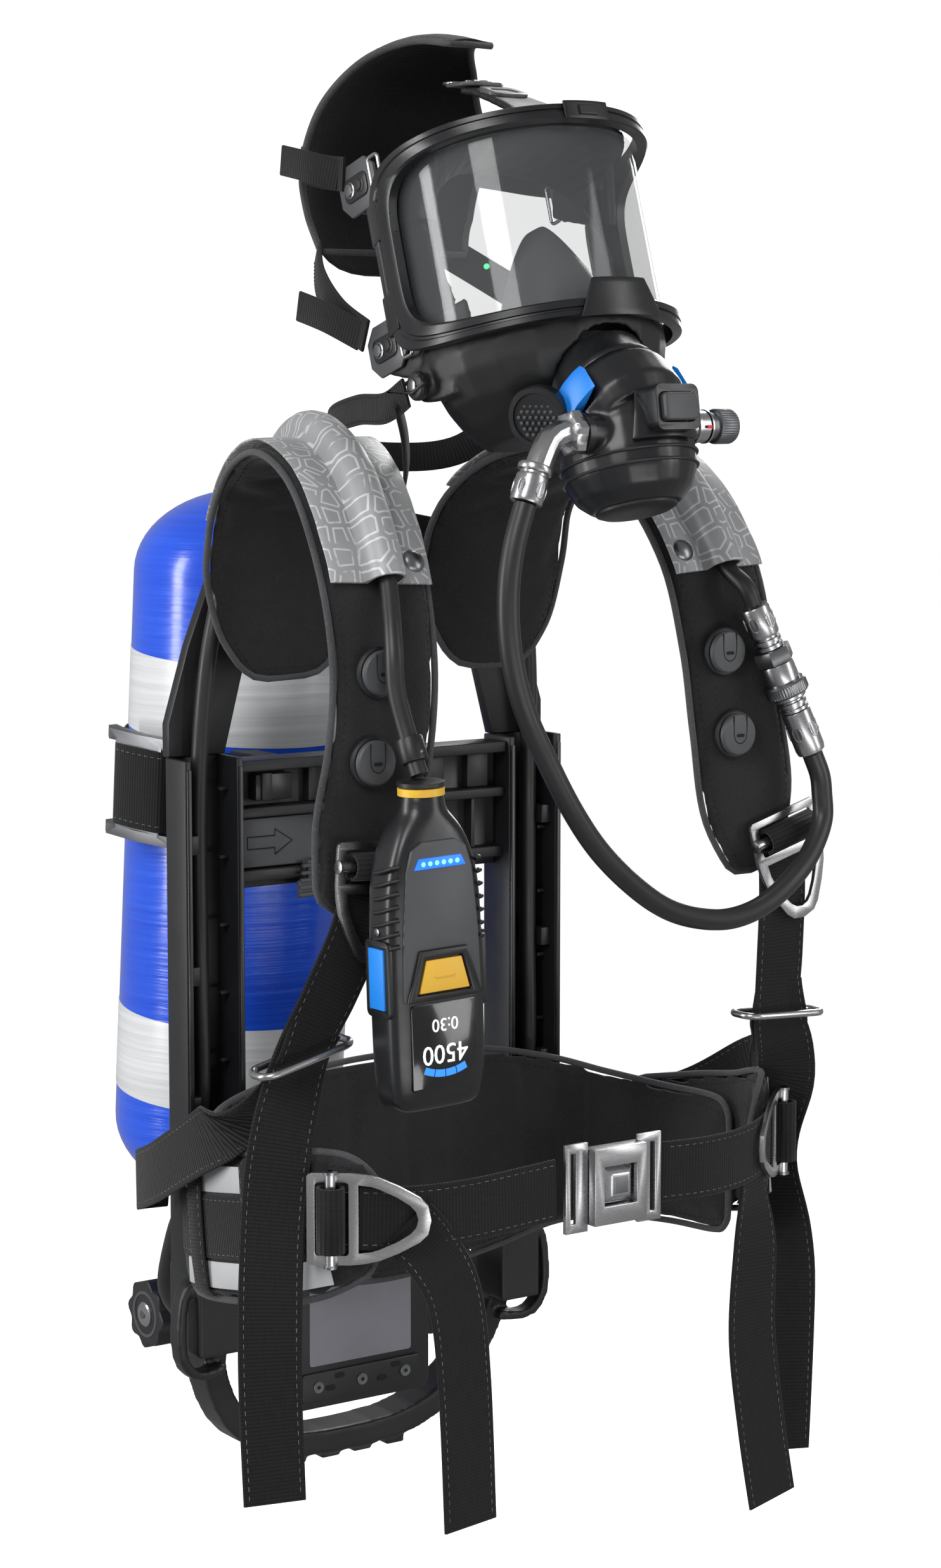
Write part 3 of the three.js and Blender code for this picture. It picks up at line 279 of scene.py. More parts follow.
# the near-black thread below is stitching, and also painted shade in the clip keyholes, the module's screw
# sockets and its slots
dark_thread_and_shade = plastic("dark_thread_and_shade", PALETTE["dark_thread_and_shade"], 0.8, 0.1)
steel = metal("steel", PALETTE["steel"], 0.27)
# darker steel for caps, screws, studs and the coupling's hex and sleeve, and also painted shade in the
# pressed flats of the crimped ferrules
dark_steel_and_shade = metal("dark_steel_and_shade", (0.24, 0.245, 0.25), 0.30)
grey_metal = metal("grey_metal", PALETTE["grey_metal"], 0.40)
azure = plastic("azure", PALETTE["azure"], 0.36, 0.08)
yellow = plastic("yellow", PALETTE["yellow"], 0.42, 0.1)
light_silver = plastic("light_silver", (0.42, 0.43, 0.44), 0.55, 0.2)
module_grey = plastic("module_grey", (0.22, 0.22, 0.25), 0.5, 0.08)


def cylinder_paint():
    s = Shade("cylinder_paint", PALETTE["blue"], 0.22, Coat_Weight=0.35, Coat_Roughness=0.12)
    hoop_and_highlight = s.noise(1.0, 5, (5, 5, 230))
    # painted highlight: lighter blue streaks on the hoop bands stand in for the ragged reflections off the
    # wound fibre; the same bands also set the roughness and the bump
    s.paint(s.ranged(hoop_and_highlight, 0.35, 0.75, 0, 0.5), (0.02, 0.15, 0.95))
    s.paint(s.ranged(s.noise(9, 4), 0.45, 0.8, 0, 0.45), (0.008, 0.05, 0.5))
    s.roughen(hoop_and_highlight, 0.16, 0.34)
    s.bump(hoop_and_highlight, 0.32, 0.0022)
    s.bump(s.noise(1.0, 3, (16, 16, 700)), 0.22, 0.0006)
    return s.material


def label_paint():
    s = Shade("label_paint", (0.62, 0.63, 0.64), 0.34, Coat_Weight=0.2, Coat_Roughness=0.2)
    hoop_and_highlight = s.noise(1.0, 5, (5, 5, 230))
    # painted highlight: paler streaks on the label's hoop bands, where its bump is raised
    s.paint(s.ranged(hoop_and_highlight, 0.3, 0.7, 0, 0.8), (0.82, 0.83, 0.84))
    s.bump(hoop_and_highlight, 0.25, 0.0018)
    return s.material


def reflective_cloth():
    """Silver cloth with pale rows of rounded cells, from the piece's UV in metres."""
    s = Shade("reflective_cloth", PALETTE["silver_cloth"], 0.5, Metallic=0.25, Sheen_Weight=0.2).use_uv()
    cells = s.add("ShaderNodeTexVoronoi", feature="DISTANCE_TO_EDGE", voronoi_dimensions="2D")
    cells.inputs["Scale"].default_value = 72
    cells.inputs["Randomness"].default_value = 0.55
    s.link(s.coords, cells.inputs["Vector"])
    edge = cells.outputs["Distance"]
    line = s.math("MULTIPLY", s.ranged(edge, 0.09, 0.11), s.ranged(edge, 0.20, 0.18))
    broken = s.math("MULTIPLY", line, s.ranged(s.noise(70, 2), 0.40, 0.46))
    s.paint(s.ranged(s.noise(22, 4), 0.3, 0.8, 0, 0.55), scaled(PALETTE["silver_cloth"], 0.6))
    s.paint(broken, (0.60, 0.605, 0.61))
    s.bump(s.noise(1300, 2), 0.3, 0.0004)
    s.bump(s.noise(30, 4), 0.3, 0.003)
    return s.material


def visor_glass():
    s = Shade("visor_glass", (0.16, 0.17, 0.18), 0.05, Alpha=0.20, Coat_Weight=0.5, Coat_Roughness=0.03)
    s.surface.inputs["Specular IOR Level"].default_value = 0.9
    s.bump(s.noise(9, 2), 0.03, 0.002)
    s.roughen(s.noise(40, 3), 0.03, 0.09)
    return s.material


def glowing(name, color, strength):
    s = Shade(name, color, 0.4)
    s.surface.inputs["Emission Color"].default_value = (*color, 1)
    s.surface.inputs["Emission Strength"].default_value = strength
    s.paint(s.ranged(s.noise(400), 0.3, 0.8, 0, 0.3), scaled(color, 1.2))
    return s.material


blue_paint = cylinder_paint()
label = label_paint()
silver_cloth = reflective_cloth()
glass = visor_glass()


# ---------------------------------------------------------------- mesh helpers
def place(obj, node_or_body, replaces=(), slot=None):
    """Rides an object on a body, or on the body of a CAD node."""
    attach(obj, BODY.get(node_or_body, node_or_body))
    if replaces:
        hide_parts(*([replaces] if isinstance(replaces, str) else replaces))
    slot = slot or (SLOTS.get(replaces) if isinstance(replaces, str) else None) or SLOTS.get(node_or_body)
    return obj


def modified(obj, kind, **settings):
    """Adds a modifier with its settings."""
    modifier = obj.modifiers.new(kind.lower(), kind)
    for key, value in settings.items():
        setattr(modifier, key, value)


def rounded_edges(obj, width, segments, angle):
    """Bevels the edges that turn by more than an angle in degrees, by a width in mm."""
    modified(obj, "BEVEL", width=width * MM, segments=segments, limit_method="ANGLE",
             angle_limit=math.radians(angle))


def quads(rows, count, closed=True, looped=False, caps=True, flip=False):
    """Faces between rows of count points. closed joins a row's ends, and looped the last row to the first."""
    faces = []
    for i in range(rows if looped else rows - 1):
        a, b = i * count, (i + 1) % rows * count
        for k in range(count if closed else count - 1):
            j = (k + 1) % count
            faces.append((a + k, a + j, b + j, b + k))
    if caps and closed and not looped:
        faces.append(tuple(range(count))[::-1])
        faces.append(tuple((rows - 1) * count + k for k in range(count)))
    return [face[::-1] for face in faces] if flip else faces


def build(name, verts, faces, material, on, uv=None, sharp=40, replaces=(), slot=None):
    """A mesh object from points in metres. uv is one pair a vertex."""
    data = bpy.data.meshes.new(name)
    data.from_pydata([tuple(v) for v in verts], [], faces)
    data.validate()
    if uv is not None:
        layer = data.uv_layers.new(name="UVMap")
        for loop in data.loops:
            layer.data[loop.index].uv = uv[loop.vertex_index]
    return finished(added(name, data), material, sharp, on, replaces, slot)


def finished(obj, material, sharp, on, replaces=(), slot=None):
    """Gives an object its one material, its shading and its body."""
    obj.data.materials.clear()
    obj.data.materials.append(material)
    smooth_shading(obj.data, sharp)
    return place(obj, on, replaces, slot)


def smooth_shading(data, sharp):
    data.polygons.foreach_set("use_smooth", [True] * len(data.polygons))
    data.set_sharp_from_angle(angle=math.radians(sharp))


def baked(obj):
    """The object's mesh with its modifiers applied."""
    graph = bpy.context.evaluated_depsgraph_get()
    made = bpy.data.meshes.new_from_object(obj.evaluated_get(graph))
    obj.modifiers.clear()
    old = obj.data
    obj.data = made
    bpy.data.meshes.remove(old)
    return obj


def copied(node, name):
    """A welded copy of a CAD node's mesh, with its flat faces joined."""
    bm = bmesh.new()
    bm.from_mesh(NODES[node].data)
    bmesh.ops.remove_doubles(bm, verts=bm.verts, dist=2e-6)
    bmesh.ops.dissolve_limit(bm, angle_limit=math.radians(1.5), verts=bm.verts, edges=bm.edges)
    data = bpy.data.meshes.new(name)
    bm.to_mesh(data)
    bm.free()
    return added(name, data)


def refined(node, material, bevel=0.6, segments=2, voxel=0.0, smooth=0):
    """A CAD node made again with rounded edges, or remeshed and smoothed where voxel is given (mm)."""
    obj = copied(node, node + "_body")
    if voxel:
        modified(obj, "REMESH", mode="VOXEL", voxel_size=voxel * MM)
        modified(obj, "CORRECTIVE_SMOOTH", factor=0.6, iterations=smooth, use_only_smooth=True)
    else:
        rounded_edges(obj, bevel, segments, 28)
    baked(obj)
    finished(obj, material, 180 if voxel else 32, node, node)


def catmull(stations, t):
    """The values at a share t along stations, on the same smooth line as the CAD's."""
    last = len(stations) - 1
    i = min(int(t * last), last - 1)
    u = t * last - i
    p = [stations[max(0, min(last, i + k))] for k in (-1, 0, 1, 2)]
    out = []
    for a, b, c, d in zip(*p):
        bend = (2 * a - 5 * b + 4 * c - d) * u * u + (3 * b - a - 3 * c + d) * u ** 3
        out.append(b + 0.5 * ((c - a) * u + bend))
    return out


class Path:
    """Frames along a line: place, across, out, width and along, in metres."""

    def __init__(self, frames):
        self.frames = frames
        self.run = [0.0]
        for before, after in zip(frames, frames[1:]):
            self.run.append(self.run[-1] + (after[0] - before[0]).length)

    @classmethod
    def through(cls, stations, steps, first=0.0, last=1.0):
        """A smooth path through stations [x, y, z, width, acrossX, acrossY, acrossZ] in mm."""
        rows = [catmull(stations, first + (last - first) * i / steps) for i in range(steps + 1)]
        frames = []
        for i, row in enumerate(rows):
            along = (Vector(rows[min(i + 1, steps)][:3]) - Vector(rows[max(i - 1, 0)][:3])).normalized()
            across = Vector(row[4:7])
            across = (across - along * across.dot(along)).normalized()
            frames.append((Vector(row[:3]) * MM, across, across.cross(along), row[3] * MM, along))
        return cls(frames)

    def at(self, distance):
        """The frame at a distance along, in metres."""
        for i in range(1, len(self.run)):
            if self.run[i] >= distance or i == len(self.run) - 1:
                k = (distance - self.run[i - 1]) / max(self.run[i] - self.run[i - 1], 1e-9)
                a, b = self.frames[i - 1], self.frames[i]
                return tuple(x + (y - x) * k for x, y in zip(a, b))

    @property
    def length(self):
        return self.run[-1]


def lofted(name, path, section, material, on, replaces=(), slot=None, sharp=40):
    """A surface through a path's frames. section(width, share) gives closed [across, out] pairs in metres."""
    verts, uv = [], []
    rows = len(path.frames)
    for k, (p, across, out, width, _) in enumerate(path.frames):
        for a, o in section(width, k / (rows - 1)):
            verts.append(p + across * a + out * o)
            uv.append((path.run[k], a))
    return build(name, verts, quads(rows, len(verts) // rows), material, on, uv, sharp, replaces, slot)


def strap_section(thickness):
    def ring(width, _):
        w, h = width / 2, thickness * MM / 2
        e = min(0.0008, w / 3)
        half = [(-w, -h * 0.4), (-w + e, -h), (w - e, -h), (w, -h * 0.4)]
        return half + [(-a, -o) for a, o in half]
    return ring


def dashes(name, points, normals, material, on, pitch=7.0, length=4.2, wide=0.75, high=0.35):
    """Stitches along a line of points: small raised lozenges lying along it, on the side of the normals."""
    verts, faces = [], []
    run = [0.0]
    for a, b in zip(points, points[1:]):
        run.append(run[-1] + (b - a).length)
    d, i = pitch * MM / 2, 1
    while d < run[-1] - pitch * MM / 2:
        while run[i] < d:
            i += 1
        k = (d - run[i - 1]) / max(run[i] - run[i - 1], 1e-9)
        p = points[i - 1].lerp(points[i], k)
        n = normals[i - 1].lerp(normals[i], k).normalized()
        t = (points[i] - points[i - 1]).normalized()
        side = n.cross(t).normalized()
        base = len(verts)
        l, w, h = length * MM / 2, wide * MM / 2, high * MM
        for x, y, z in ((-l, 0, -h), (-l * 0.6, w, 0), (l * 0.6, w, 0), (l, 0, -h), (l * 0.6, -w, 0),
                        (-l * 0.6, -w, 0), (-l * 0.5, 0, h), (l * 0.5, 0, h)):
            verts.append(p + t * x + side * y + n * z)
        for f in ((0, 6, 1), (1, 6, 7, 2), (2, 7, 3), (3, 7, 4), (4, 7, 6, 5), (5, 6, 0), (0, 1, 2, 3, 4, 5)):
            faces.append(tuple(base + v for v in f))
        d += pitch * MM
    if verts:
        return build(name, verts, faces, material, on, sharp=60)


def strap_stitches(name, path, inset, out, on, material=None, **kw):
    """Two stitch rows along a strap, inset from each edge, on the side that out (+1 or -1) gives."""
    for row, side in enumerate((-1, 1)):
        points = [p + a * side * (w / 2 - inset * MM) + o * out * 0.0013 for p, a, o, w, _ in path.frames]
        dashes(f"{name}_{row}", points, [o * out for _, _, o, _, _ in path.frames], material or thread, on,
               **kw)


def tube(name, points, radius, material, on, sides=10, closed=False, replaces=(), slot=None):
    """A round tube through points, in metres."""
    verts, uv = [], []
    n = len(points)
    up = None
    run = 0.0
    for i, p in enumerate(points):
        before, after = (i - 1, (i + 1) % n) if closed else (max(i - 1, 0), min(i + 1, n - 1))
        t = (points[after] - points[before]).normalized()
        if up is None:
            up = t.orthogonal().normalized()
        up = (up - t * up.dot(t)).normalized()
        side = t.cross(up)
        if i:
            run += (p - points[i - 1]).length
        for k in range(sides):
            a = 2 * math.pi * k / sides
            verts.append(p + (up * math.cos(a) + side * math.sin(a)) * radius)
            uv.append((run, a * radius))
    return build(name, verts, quads(n, sides, looped=closed), material, on, uv, 50, replaces, slot)


def centripetal(points, per=8):
    """The same smooth line that the CAD's hoses follow."""
    out = []
    last = len(points) - 1
    for i in range(last):
        p1, p2 = points[i], points[i + 1]
        p0 = points[i - 1] if i else p1 * 2 - p2
        p3 = points[i + 2] if i + 2 <= last else p2 * 2 - p1
        d0, d1, d2 = ((b - a).length ** 0.5 for a, b in ((p0, p1), (p1, p2), (p2, p3)))
        m1 = ((p1 - p0) / d0 - (p2 - p0) / (d0 + d1) + (p2 - p1) / d1) * d1
        m2 = ((p2 - p1) / d1 - (p3 - p1) / (d1 + d2) + (p3 - p2) / d2) * d1
        for k in range(per):
            t = k / per
            bend = (p1 * -3 + p2 * 3 - m1 * 2 - m2) * t * t + (p1 * 2 - p2 * 2 + m1 + m2) * t ** 3
            out.append(p1 + m1 * t + bend)
    return out + [points[last]]


def lathe(name, profile, origin, direction, material, on, segments=40, replaces=(), slot=None, sharp=35,
          radial=None):
    """[radius, height] pairs in mm turned about a line. radial(angle, i) scales the radius, as a hex does."""
    z = Vector(direction).normalized()
    x = z.orthogonal().normalized()
    y = z.cross(x)
    o = Vector(origin) * MM
    verts, uv = [], []
    for i, (r, h) in enumerate(profile):
        for k in range(segments):
            a = 2 * math.pi * k / segments
            s = r * (radial(a, i) if radial else 1)
            verts.append(o + (x * math.cos(a) * s + y * math.sin(a) * s + z * h) * MM)
            uv.append((h * MM, a * r * MM))
    build(name, verts, quads(len(profile), segments), material, on, uv, sharp, replaces, slot)


def meshed(name, curve):
    """The mesh that a curve or a text makes."""
    holder = added(name, curve)
    bpy.context.view_layer.update()
    data = bpy.data.meshes.new_from_object(holder.evaluated_get(bpy.context.evaluated_depsgraph_get()))
    bpy.data.objects.remove(holder)
    return data


def slab(name, outline, low, high, basis, material, on, bevel=0.4, holes=(), replaces=(), segments=2):
    """An outline of [x, y] pairs in mm, raised from low to high along the matrix's z, with rounded edges."""
    curve = bpy.data.curves.new(name, "CURVE")
    curve.dimensions, curve.fill_mode = "2D", "BOTH"
    for loop in (outline, *holes):
        spline = curve.splines.new("POLY")
        spline.points.add(len(loop) - 1)
        for point, (a, b) in zip(spline.points, loop):
            point.co = (a * MM, b * MM, 0, 1)
        spline.use_cyclic_u = True
    curve.extrude = (high - low) * MM / 2
    data = meshed(name, curve)
    bm = bmesh.new()
    bm.from_mesh(data)
    bmesh.ops.remove_doubles(bm, verts=bm.verts, dist=1e-6)
    bmesh.ops.dissolve_limit(bm, angle_limit=math.radians(1), verts=bm.verts, edges=bm.edges)
    bm.to_mesh(data)
    bm.free()
    data.transform(Matrix.Translation((0, 0, (low + high) * MM / 2)))
    data.transform(basis)
    obj = added(name, data)
    if bevel:
        rounded_edges(obj, bevel, segments, 40)
        baked(obj)
    finished(obj, material, 30, on, replaces)


def basis(origin, along_x, along_y):
    """A matrix from local metres to the row frame: an origin in mm, and the directions of local x and y."""
    x = Vector(along_x).normalized()
    z = x.cross(Vector(along_y)).normalized()
    y = z.cross(x)
    m = Matrix((x, y, z)).transposed().to_4x4()
    m.translation = Vector(origin) * MM
    return m


def rounded(half_x, half_y, r, n=5, cx=0, cy=0):
    out = []
    for sx, sy, start in ((1, 1, 0), (-1, 1, 90), (-1, -1, 180), (1, -1, 270)):
        for i in range(n + 1):
            a = math.radians(start + 90 * i / n)
            out.append((cx + sx * (half_x - r) + r * math.cos(a), cy + sy * (half_y - r) + r * math.sin(a)))
    return out


def mirrored(side, stations):
    return [[side * s[0], *s[1:]] for s in stations]


SIDES = (("left", -1), ("right", 1))


# ---------------------------------------------------------------- the free hose to the demand valve
DEMAND_HOSE = [(185.18, -244.56, 271.06), (190.6, -246.4, 256), (191.6, -247.4, 244), (191, -249, 227),
               (175, -255, 205), (151, -261, 188), (122, -268, 176), (90, -275, 172), (59, -281, 176),
               (28, -287, 186), (-1, -292, 203), (-33, -297, 229), (-56, -300, 256), (-79, -302, 292),
               (-96, -303, 324), (-106, -304, 358), (-108, -304, 392), (-104, -304, 420), (-95, -303, 446)]
hose_line = centripetal([Vector(p) * MM for p in DEMAND_HOSE])
demand_hose = tube("demand_hose_rubber", hose_line, 0.007, hose_rubber, "frame", 16, replaces="demand_hose")

# ---------------------------------------------------------------- cylinder
CYL = {"radius": 85, "half": 268, "dome": 62, "y": 191, "z": 172, "tilt": math.radians(5.3)}
CYL_UP = Vector((0, -math.sin(CYL["tilt"]), math.cos(CYL["tilt"])))
CYL_OUT = Vector((0, math.cos(CYL["tilt"]), math.sin(CYL["tilt"])))
CYL_MID = Vector((0, CYL["y"], CYL["z"]))


def on_cylinder(x, y, z):
    """A point in the cylinder's own frame, in mm, as a point in the row frame, in mm."""
    return CYL_MID + Vector((x, 0, 0)) + CYL_OUT * y + CYL_UP * z


def around(degrees, r, z):
    """A point round the cylinder, 0 towards the wearer and 90 to -X."""
    a = math.radians(degrees)
    return on_cylinder(-r * math.sin(a), -r * math.cos(a), z)


def cylinder_profile():
    r, half, dome = CYL["radius"], CYL["half"], CYL["dome"]
    low = [(r * math.cos(t), -half + dome - dome * math.sin(t))
           for t in (math.radians(a) for a in range(72, -1, -6))]
    high = [(x, -h) for x, h in reversed(low)]
    return [(17, -half), (19.5, -half + 1), *[p for p in low if p[0] > 19.5],
            *[p for p in high if p[0] > 19.5], (24, half - 1.2), (12, half - 0.3)]


lathe("cylinder_shell", cylinder_profile(), CYL_MID, CYL_UP, blue_paint, "frame", 96, replaces="cylinder",
      sharp=30)
for name, low, high in (("cylinder_label_upper", 92, 150), ("cylinder_label_lower", -182, -118)):
    r = CYL["radius"]
    lathe(name, [(r - 1, low), (r + 0.35, low), (r + 0.45, low + 0.5), (r + 0.45, high - 0.5),
                 (r + 0.35, high), (r - 1, high)], CYL_MID, CYL_UP, label, "frame", 96, slot="cylinder_blue",
          sharp=50)

# ---------------------------------------------------------------- backplate, foot, module and valve
for node in ("rail_left", "rail_right", "crossbar", "yoke", "control_module"):
    refined(node, black_plastic, 0.9)
refined("height_latch", grey_plastic, 0.7)
refined("foot_frame", black_plastic, voxel=1.6, smooth=3)
refined("cylinder_valve", grey_metal, 0.9, 3)
refined("handwheel", black_plastic, 1.0, 3)
refined("pressure_reducer", grey_metal, 0.9, 3)

# ---------------------------------------------------------------- band and its buckle
def cylinder_band():
    verts, uv = [], []
    n = 90
    ring = [(-29, 0.1), (-28, 1.4), (28, 1.4), (29, 0.1), (28, -1.3), (-28, -1.3)]
    for i in range(n + 1):
        for h, o in ring:
            verts.append(around(360 * i / n, CYL["radius"] + 2.1 + o, 59 + h) * MM)
            uv.append((2 * math.pi * 0.087 * i / n, h * MM))
    faces = quads(n + 1, len(ring), caps=False, flip=True)
    obj = build("cylinder_band_strap", verts, faces, strap_cloth, "frame", uv, 50, "cylinder_band")
    bm = bmesh.new()
    bm.from_mesh(obj.data)
    bmesh.ops.remove_doubles(bm, verts=bm.verts, dist=1e-6)
    bm.to_mesh(obj.data)
    bm.free()
    smooth_shading(obj.data, 50)


cylinder_band()
refined("band_buckle", grey_metal, 0.5)
refined("band_lever", grey_metal, 1.4, 3)

# ---------------------------------------------------------------- padded pieces
PAD_WIDTHS = (58, 104, 122, 114, 98, 88, 82, 80, 78, 78, 76, 40)
PAD_LINE = [[84, -12, 318], [85, -12, 352], [87, -14, 394], [93, -26, 434], [105, -58, 464], [117, -104, 473],
            [127, -154, 452], [134, -194, 402], [137, -212, 345], [143, -216, 292], [154, -214, 238],
            [168, -208, 190]]
LUMBAR_HALF = [[188, -190, -26, 88], [190, -150, -26, 98], [184, -104, -27, 100], [170, -52, -28, 108],
               [138, -18, -29, 124], [88, -11, -30, 148], [40, -10, -31, 160]]
DRAWN = (0.94, 0.87)
HIP_LINE = [
    [193, -60, -30, 96], [203, -104, -24, 98], [206, -150, -16, 98], [204, -194, -8, 96], [195, -226, 2, 92],
    [178, -246, 8, 76], [162, -256, 10, 40]]


def pad_stations(side):
    return [[*p, w, 1, 0, 0] for p, w in zip(mirrored(side, PAD_LINE), PAD_WIDTHS)]


def lumbar_stations():
    right = [[x * DRAWN[0] if x > 160 else x, max(y, -172), *rest] for x, y, *rest in LUMBAR_HALF]
    return [[*s, 0, 0, 1] for s in (*mirrored(-1, LUMBAR_HALF), [0, -10, -32, 164], *right[::-1])]


def hip_stations(side):
    drawn = [[x * DRAWN[0] - 1, y * DRAWN[1], *rest] if side > 0 else [x, y, *rest] for x, y,
             *rest in HIP_LINE]
    return [[*s, 0, 0, side] for s in mirrored(side, drawn)]


def pad_outline(path, shrink, corner):
    """A pad's rim as a closed loop of points with its face's normals. The corners are rounded off."""
    total = path.length
    left, right = [], []
    for s in path.run:
        d = min(s, total - s)
        p, a, o, w, _ = path.at(min(max(s, shrink * MM), total - shrink * MM))
        half = w / 2 - shrink * MM
        if d < corner:
            half = half - corner + math.sqrt(max(corner ** 2 - (corner - d) ** 2, 0))
        left.append((p - a * half, o))
        right.append((p + a * half, o))
    return left + right[::-1]


RIM_SHARE = 0.34


def crowned(width, thickness, fine=14):
    """A pad's section: full in the middle, and pulled in to a thin rim."""
    top = []
    for k in range(fine + 1):
        x = -1 + 2 * k / fine
        top.append((x * width / 2, thickness * MM / 2 * (RIM_SHARE + (1 - RIM_SHARE) * (1 - abs(x) ** 5))))
    return [(a, -o) for a, o in top] + [(a, o) for a, o in reversed(top)]


def swollen(obj, cap, steps=18):
    """Remeshes a pad, swells it as cloth, and caps how far a point may move, in mm."""
    modified(obj, "REMESH", mode="VOXEL", voxel_size=4.5 * MM)
    baked(obj)
    start = [v.co.copy() for v in obj.data.vertices]
    cloth_mod = obj.modifiers.new("cloth", "CLOTH")
    settings = cloth_mod.settings
    settings.quality, settings.mass = 4, 0.25
    settings.tension_stiffness = settings.compression_stiffness = 25
    settings.bending_stiffness = 2.0
    settings.use_pressure, settings.uniform_pressure_force = True, 3.0
    settings.effector_weights.gravity = 0
    cloth_mod.point_cache.frame_start, cloth_mod.point_cache.frame_end = 1, steps
    for f in range(1, steps + 1):
        SCENE.frame_set(f)
    baked(obj)
    SCENE.frame_set(1)
    for v, s in zip(obj.data.vertices, start):
        move = v.co - s
        if move.length > cap * MM:
            v.co = s + move.normalized() * cap * MM


def crease(obj, lines, depth, width):
    """Presses sewn channels into a pad: each line is (points, normal), and the surface near it sinks."""
    for v in obj.data.vertices:
        for a, b in lines:
            ab = b - a
            t = max(0, min(1, (v.co - a).dot(ab) / ab.length_squared))
            d = (v.co - (a + ab * t)).length
            if d < width * MM:
                k = (math.cos(math.pi * d / (width * MM)) + 1) / 2
                v.co -= v.normal * depth * MM * k


def wrinkled(obj, amount, size, seed):
    for v in obj.data.vertices:
        k = noise.noise(v.co / size + Vector((seed, 0, 0))) + 0.5 * noise.noise(v.co / size * 2.3 + Vector((0,
            seed, 0)))
        v.co += v.normal * amount * MM * k


def soft_pad(node, path, thickness, seed, creases=(), corner=0.014):
    """A pad that swells inside its rim: a crowned loft, rounded at its ends, remeshed and swollen."""
    def section(width, share):
        d = min(share, 1 - share) * path.length
        half = width / 2 - (corner - math.sqrt(max(corner ** 2 - (corner - d) ** 2, 0)) if d < corner else 0)
        thin = 0.45 + 0.55 * min(1, d / 0.012)
        return [(a * half / (width / 2), o * thin) for a, o in crowned(width - 2 * MM, thickness - 1.5)]

    obj = lofted(node + "_cloth", path, section, pad_cloth, node, node)
    swollen(obj, cap=2.2)
    crease(obj, creases, 2.6, 7)
    wrinkled(obj, 0.5, 0.035, seed)
    smoother(obj, 180)
    return obj


def smoother(obj, sharp):
    """Divides a mesh once, so that it is round."""
    modified(obj, "SUBSURF", levels=1)
    baked(obj)
    smooth_shading(obj.data, sharp)


def rim_and_stitches(name, pad, path, corner=0.014, inset=8.0):
    """The bound edge round a pad, and rows of stitches inside it, laid on the pad's own surface."""
    loop = pad_outline(path, 1.2, corner)
    tube(name + "_binding", [p for p, _ in loop], 0.0023, binding_cloth, name, 8, closed=True,
         slot=SLOTS[name])
    tree = BVHTree.FromPolygons([v.co for v in pad.data.vertices], [p.vertices for p in pad.data.polygons])
    for face in (1, -1):
        points, normals = [], []
        for p, o in pad_outline(path, inset, corner):
            hit = tree.ray_cast(p + o * face * 0.03, -o * face)
            if hit[0] is not None:
                points.append(hit[0] + hit[1] * 0.00015)
                normals.append(hit[1])
        dashes(f"{name}_stitches_{'out' if face > 0 else 'in'}", points + points[:1], normals + normals[:1],
               dark_thread_and_shade, name, pitch=5.0, length=3.2, wide=0.9)


for name, side in SIDES:
    node = "shoulder_pad_" + name
    path = Path.through(pad_stations(side), 72)
    pad = soft_pad(node, path, 12, side * 3.1)
    rim_and_stitches(node, pad, path)

lumbar_path = Path.through(lumbar_stations(), 96)


def lumbar_channels():
    """Upright sewn channels across the lumbar pad."""
    lines = []
    for share in (0.22, 0.30, 0.40, 0.46, 0.54, 0.60, 0.70, 0.78):
        p, a, o, w, _ = lumbar_path.at(lumbar_path.length * share)
        for face in (-1, 1):
            lines.append((p - a * w * 0.42 + o * face * 0.007, p + a * w * 0.42 + o * face * 0.007))
    return lines


lumbar = soft_pad("lumbar_pad", lumbar_path, 14, 8.0, lumbar_channels())
rim_and_stitches("lumbar_pad", lumbar, lumbar_path, inset=9)
hip_paths = {}
for name, side in SIDES:
    node = "hip_pad_" + name
    hip_paths[name] = Path.through(hip_stations(side), 48)
    pad = soft_pad(node, hip_paths[name], 10, side * 5.3, corner=0.024)
    rim_and_stitches(node, pad, hip_paths[name], corner=0.024)

# ---------------------------------------------------------------- reflective shoulder covers


def cover_section(width, share):
    """Two flanges on the pad and a tunnel for the hose, as a thin sheet's section."""
    w = width / 2 / MM - 3
    base, top, foot = 7.6, 9.2, 9.6
    arc = lambda r: [(r * math.cos(t), 15.0 + r * math.sin(t)) for t in (math.pi * k / 10 for k in range(11))]
    flange = [(w, base), (w + 0.5, (base + top) / 2), (w, top), (w * 0.6, foot), (14, foot)]
    inner = [(-10.2, base), *arc(10.2)[::-1], (10.2, base)]
    return [(a * MM, -o * MM) for a, o in [*flange, *arc(12.0), *((-a, o) for a, o in flange[::-1]), *inner]]


for name, side in SIDES:
    node = "shoulder_cover_" + name
    path = Path.through(pad_stations(side), 60, 7 / 26, 17 / 26)
    cover = lofted(node + "_cloth", path, cover_section, silver_cloth, node, node, sharp=60)
    wrinkled(cover, 0.45, 0.022, side * 2.0)

# ---------------------------------------------------------------- held hoses
PAD_OUT = 15


def on_pad(side, share):
    """A point of a hose's middle over the pad, in mm."""
    here = catmull(pad_stations(side), share)
    ahead, behind = catmull(pad_stations(side), share + 0.02), catmull(pad_stations(side), share - 0.02)
    along = (Vector(ahead[:3]) - Vector(behind[:3])).normalized()
    out = Vector((-1, 0, 0))
    out = (out - along * out.dot(along)).normalized().cross(along)
    return Vector(here[:3]) + out * PAD_OUT


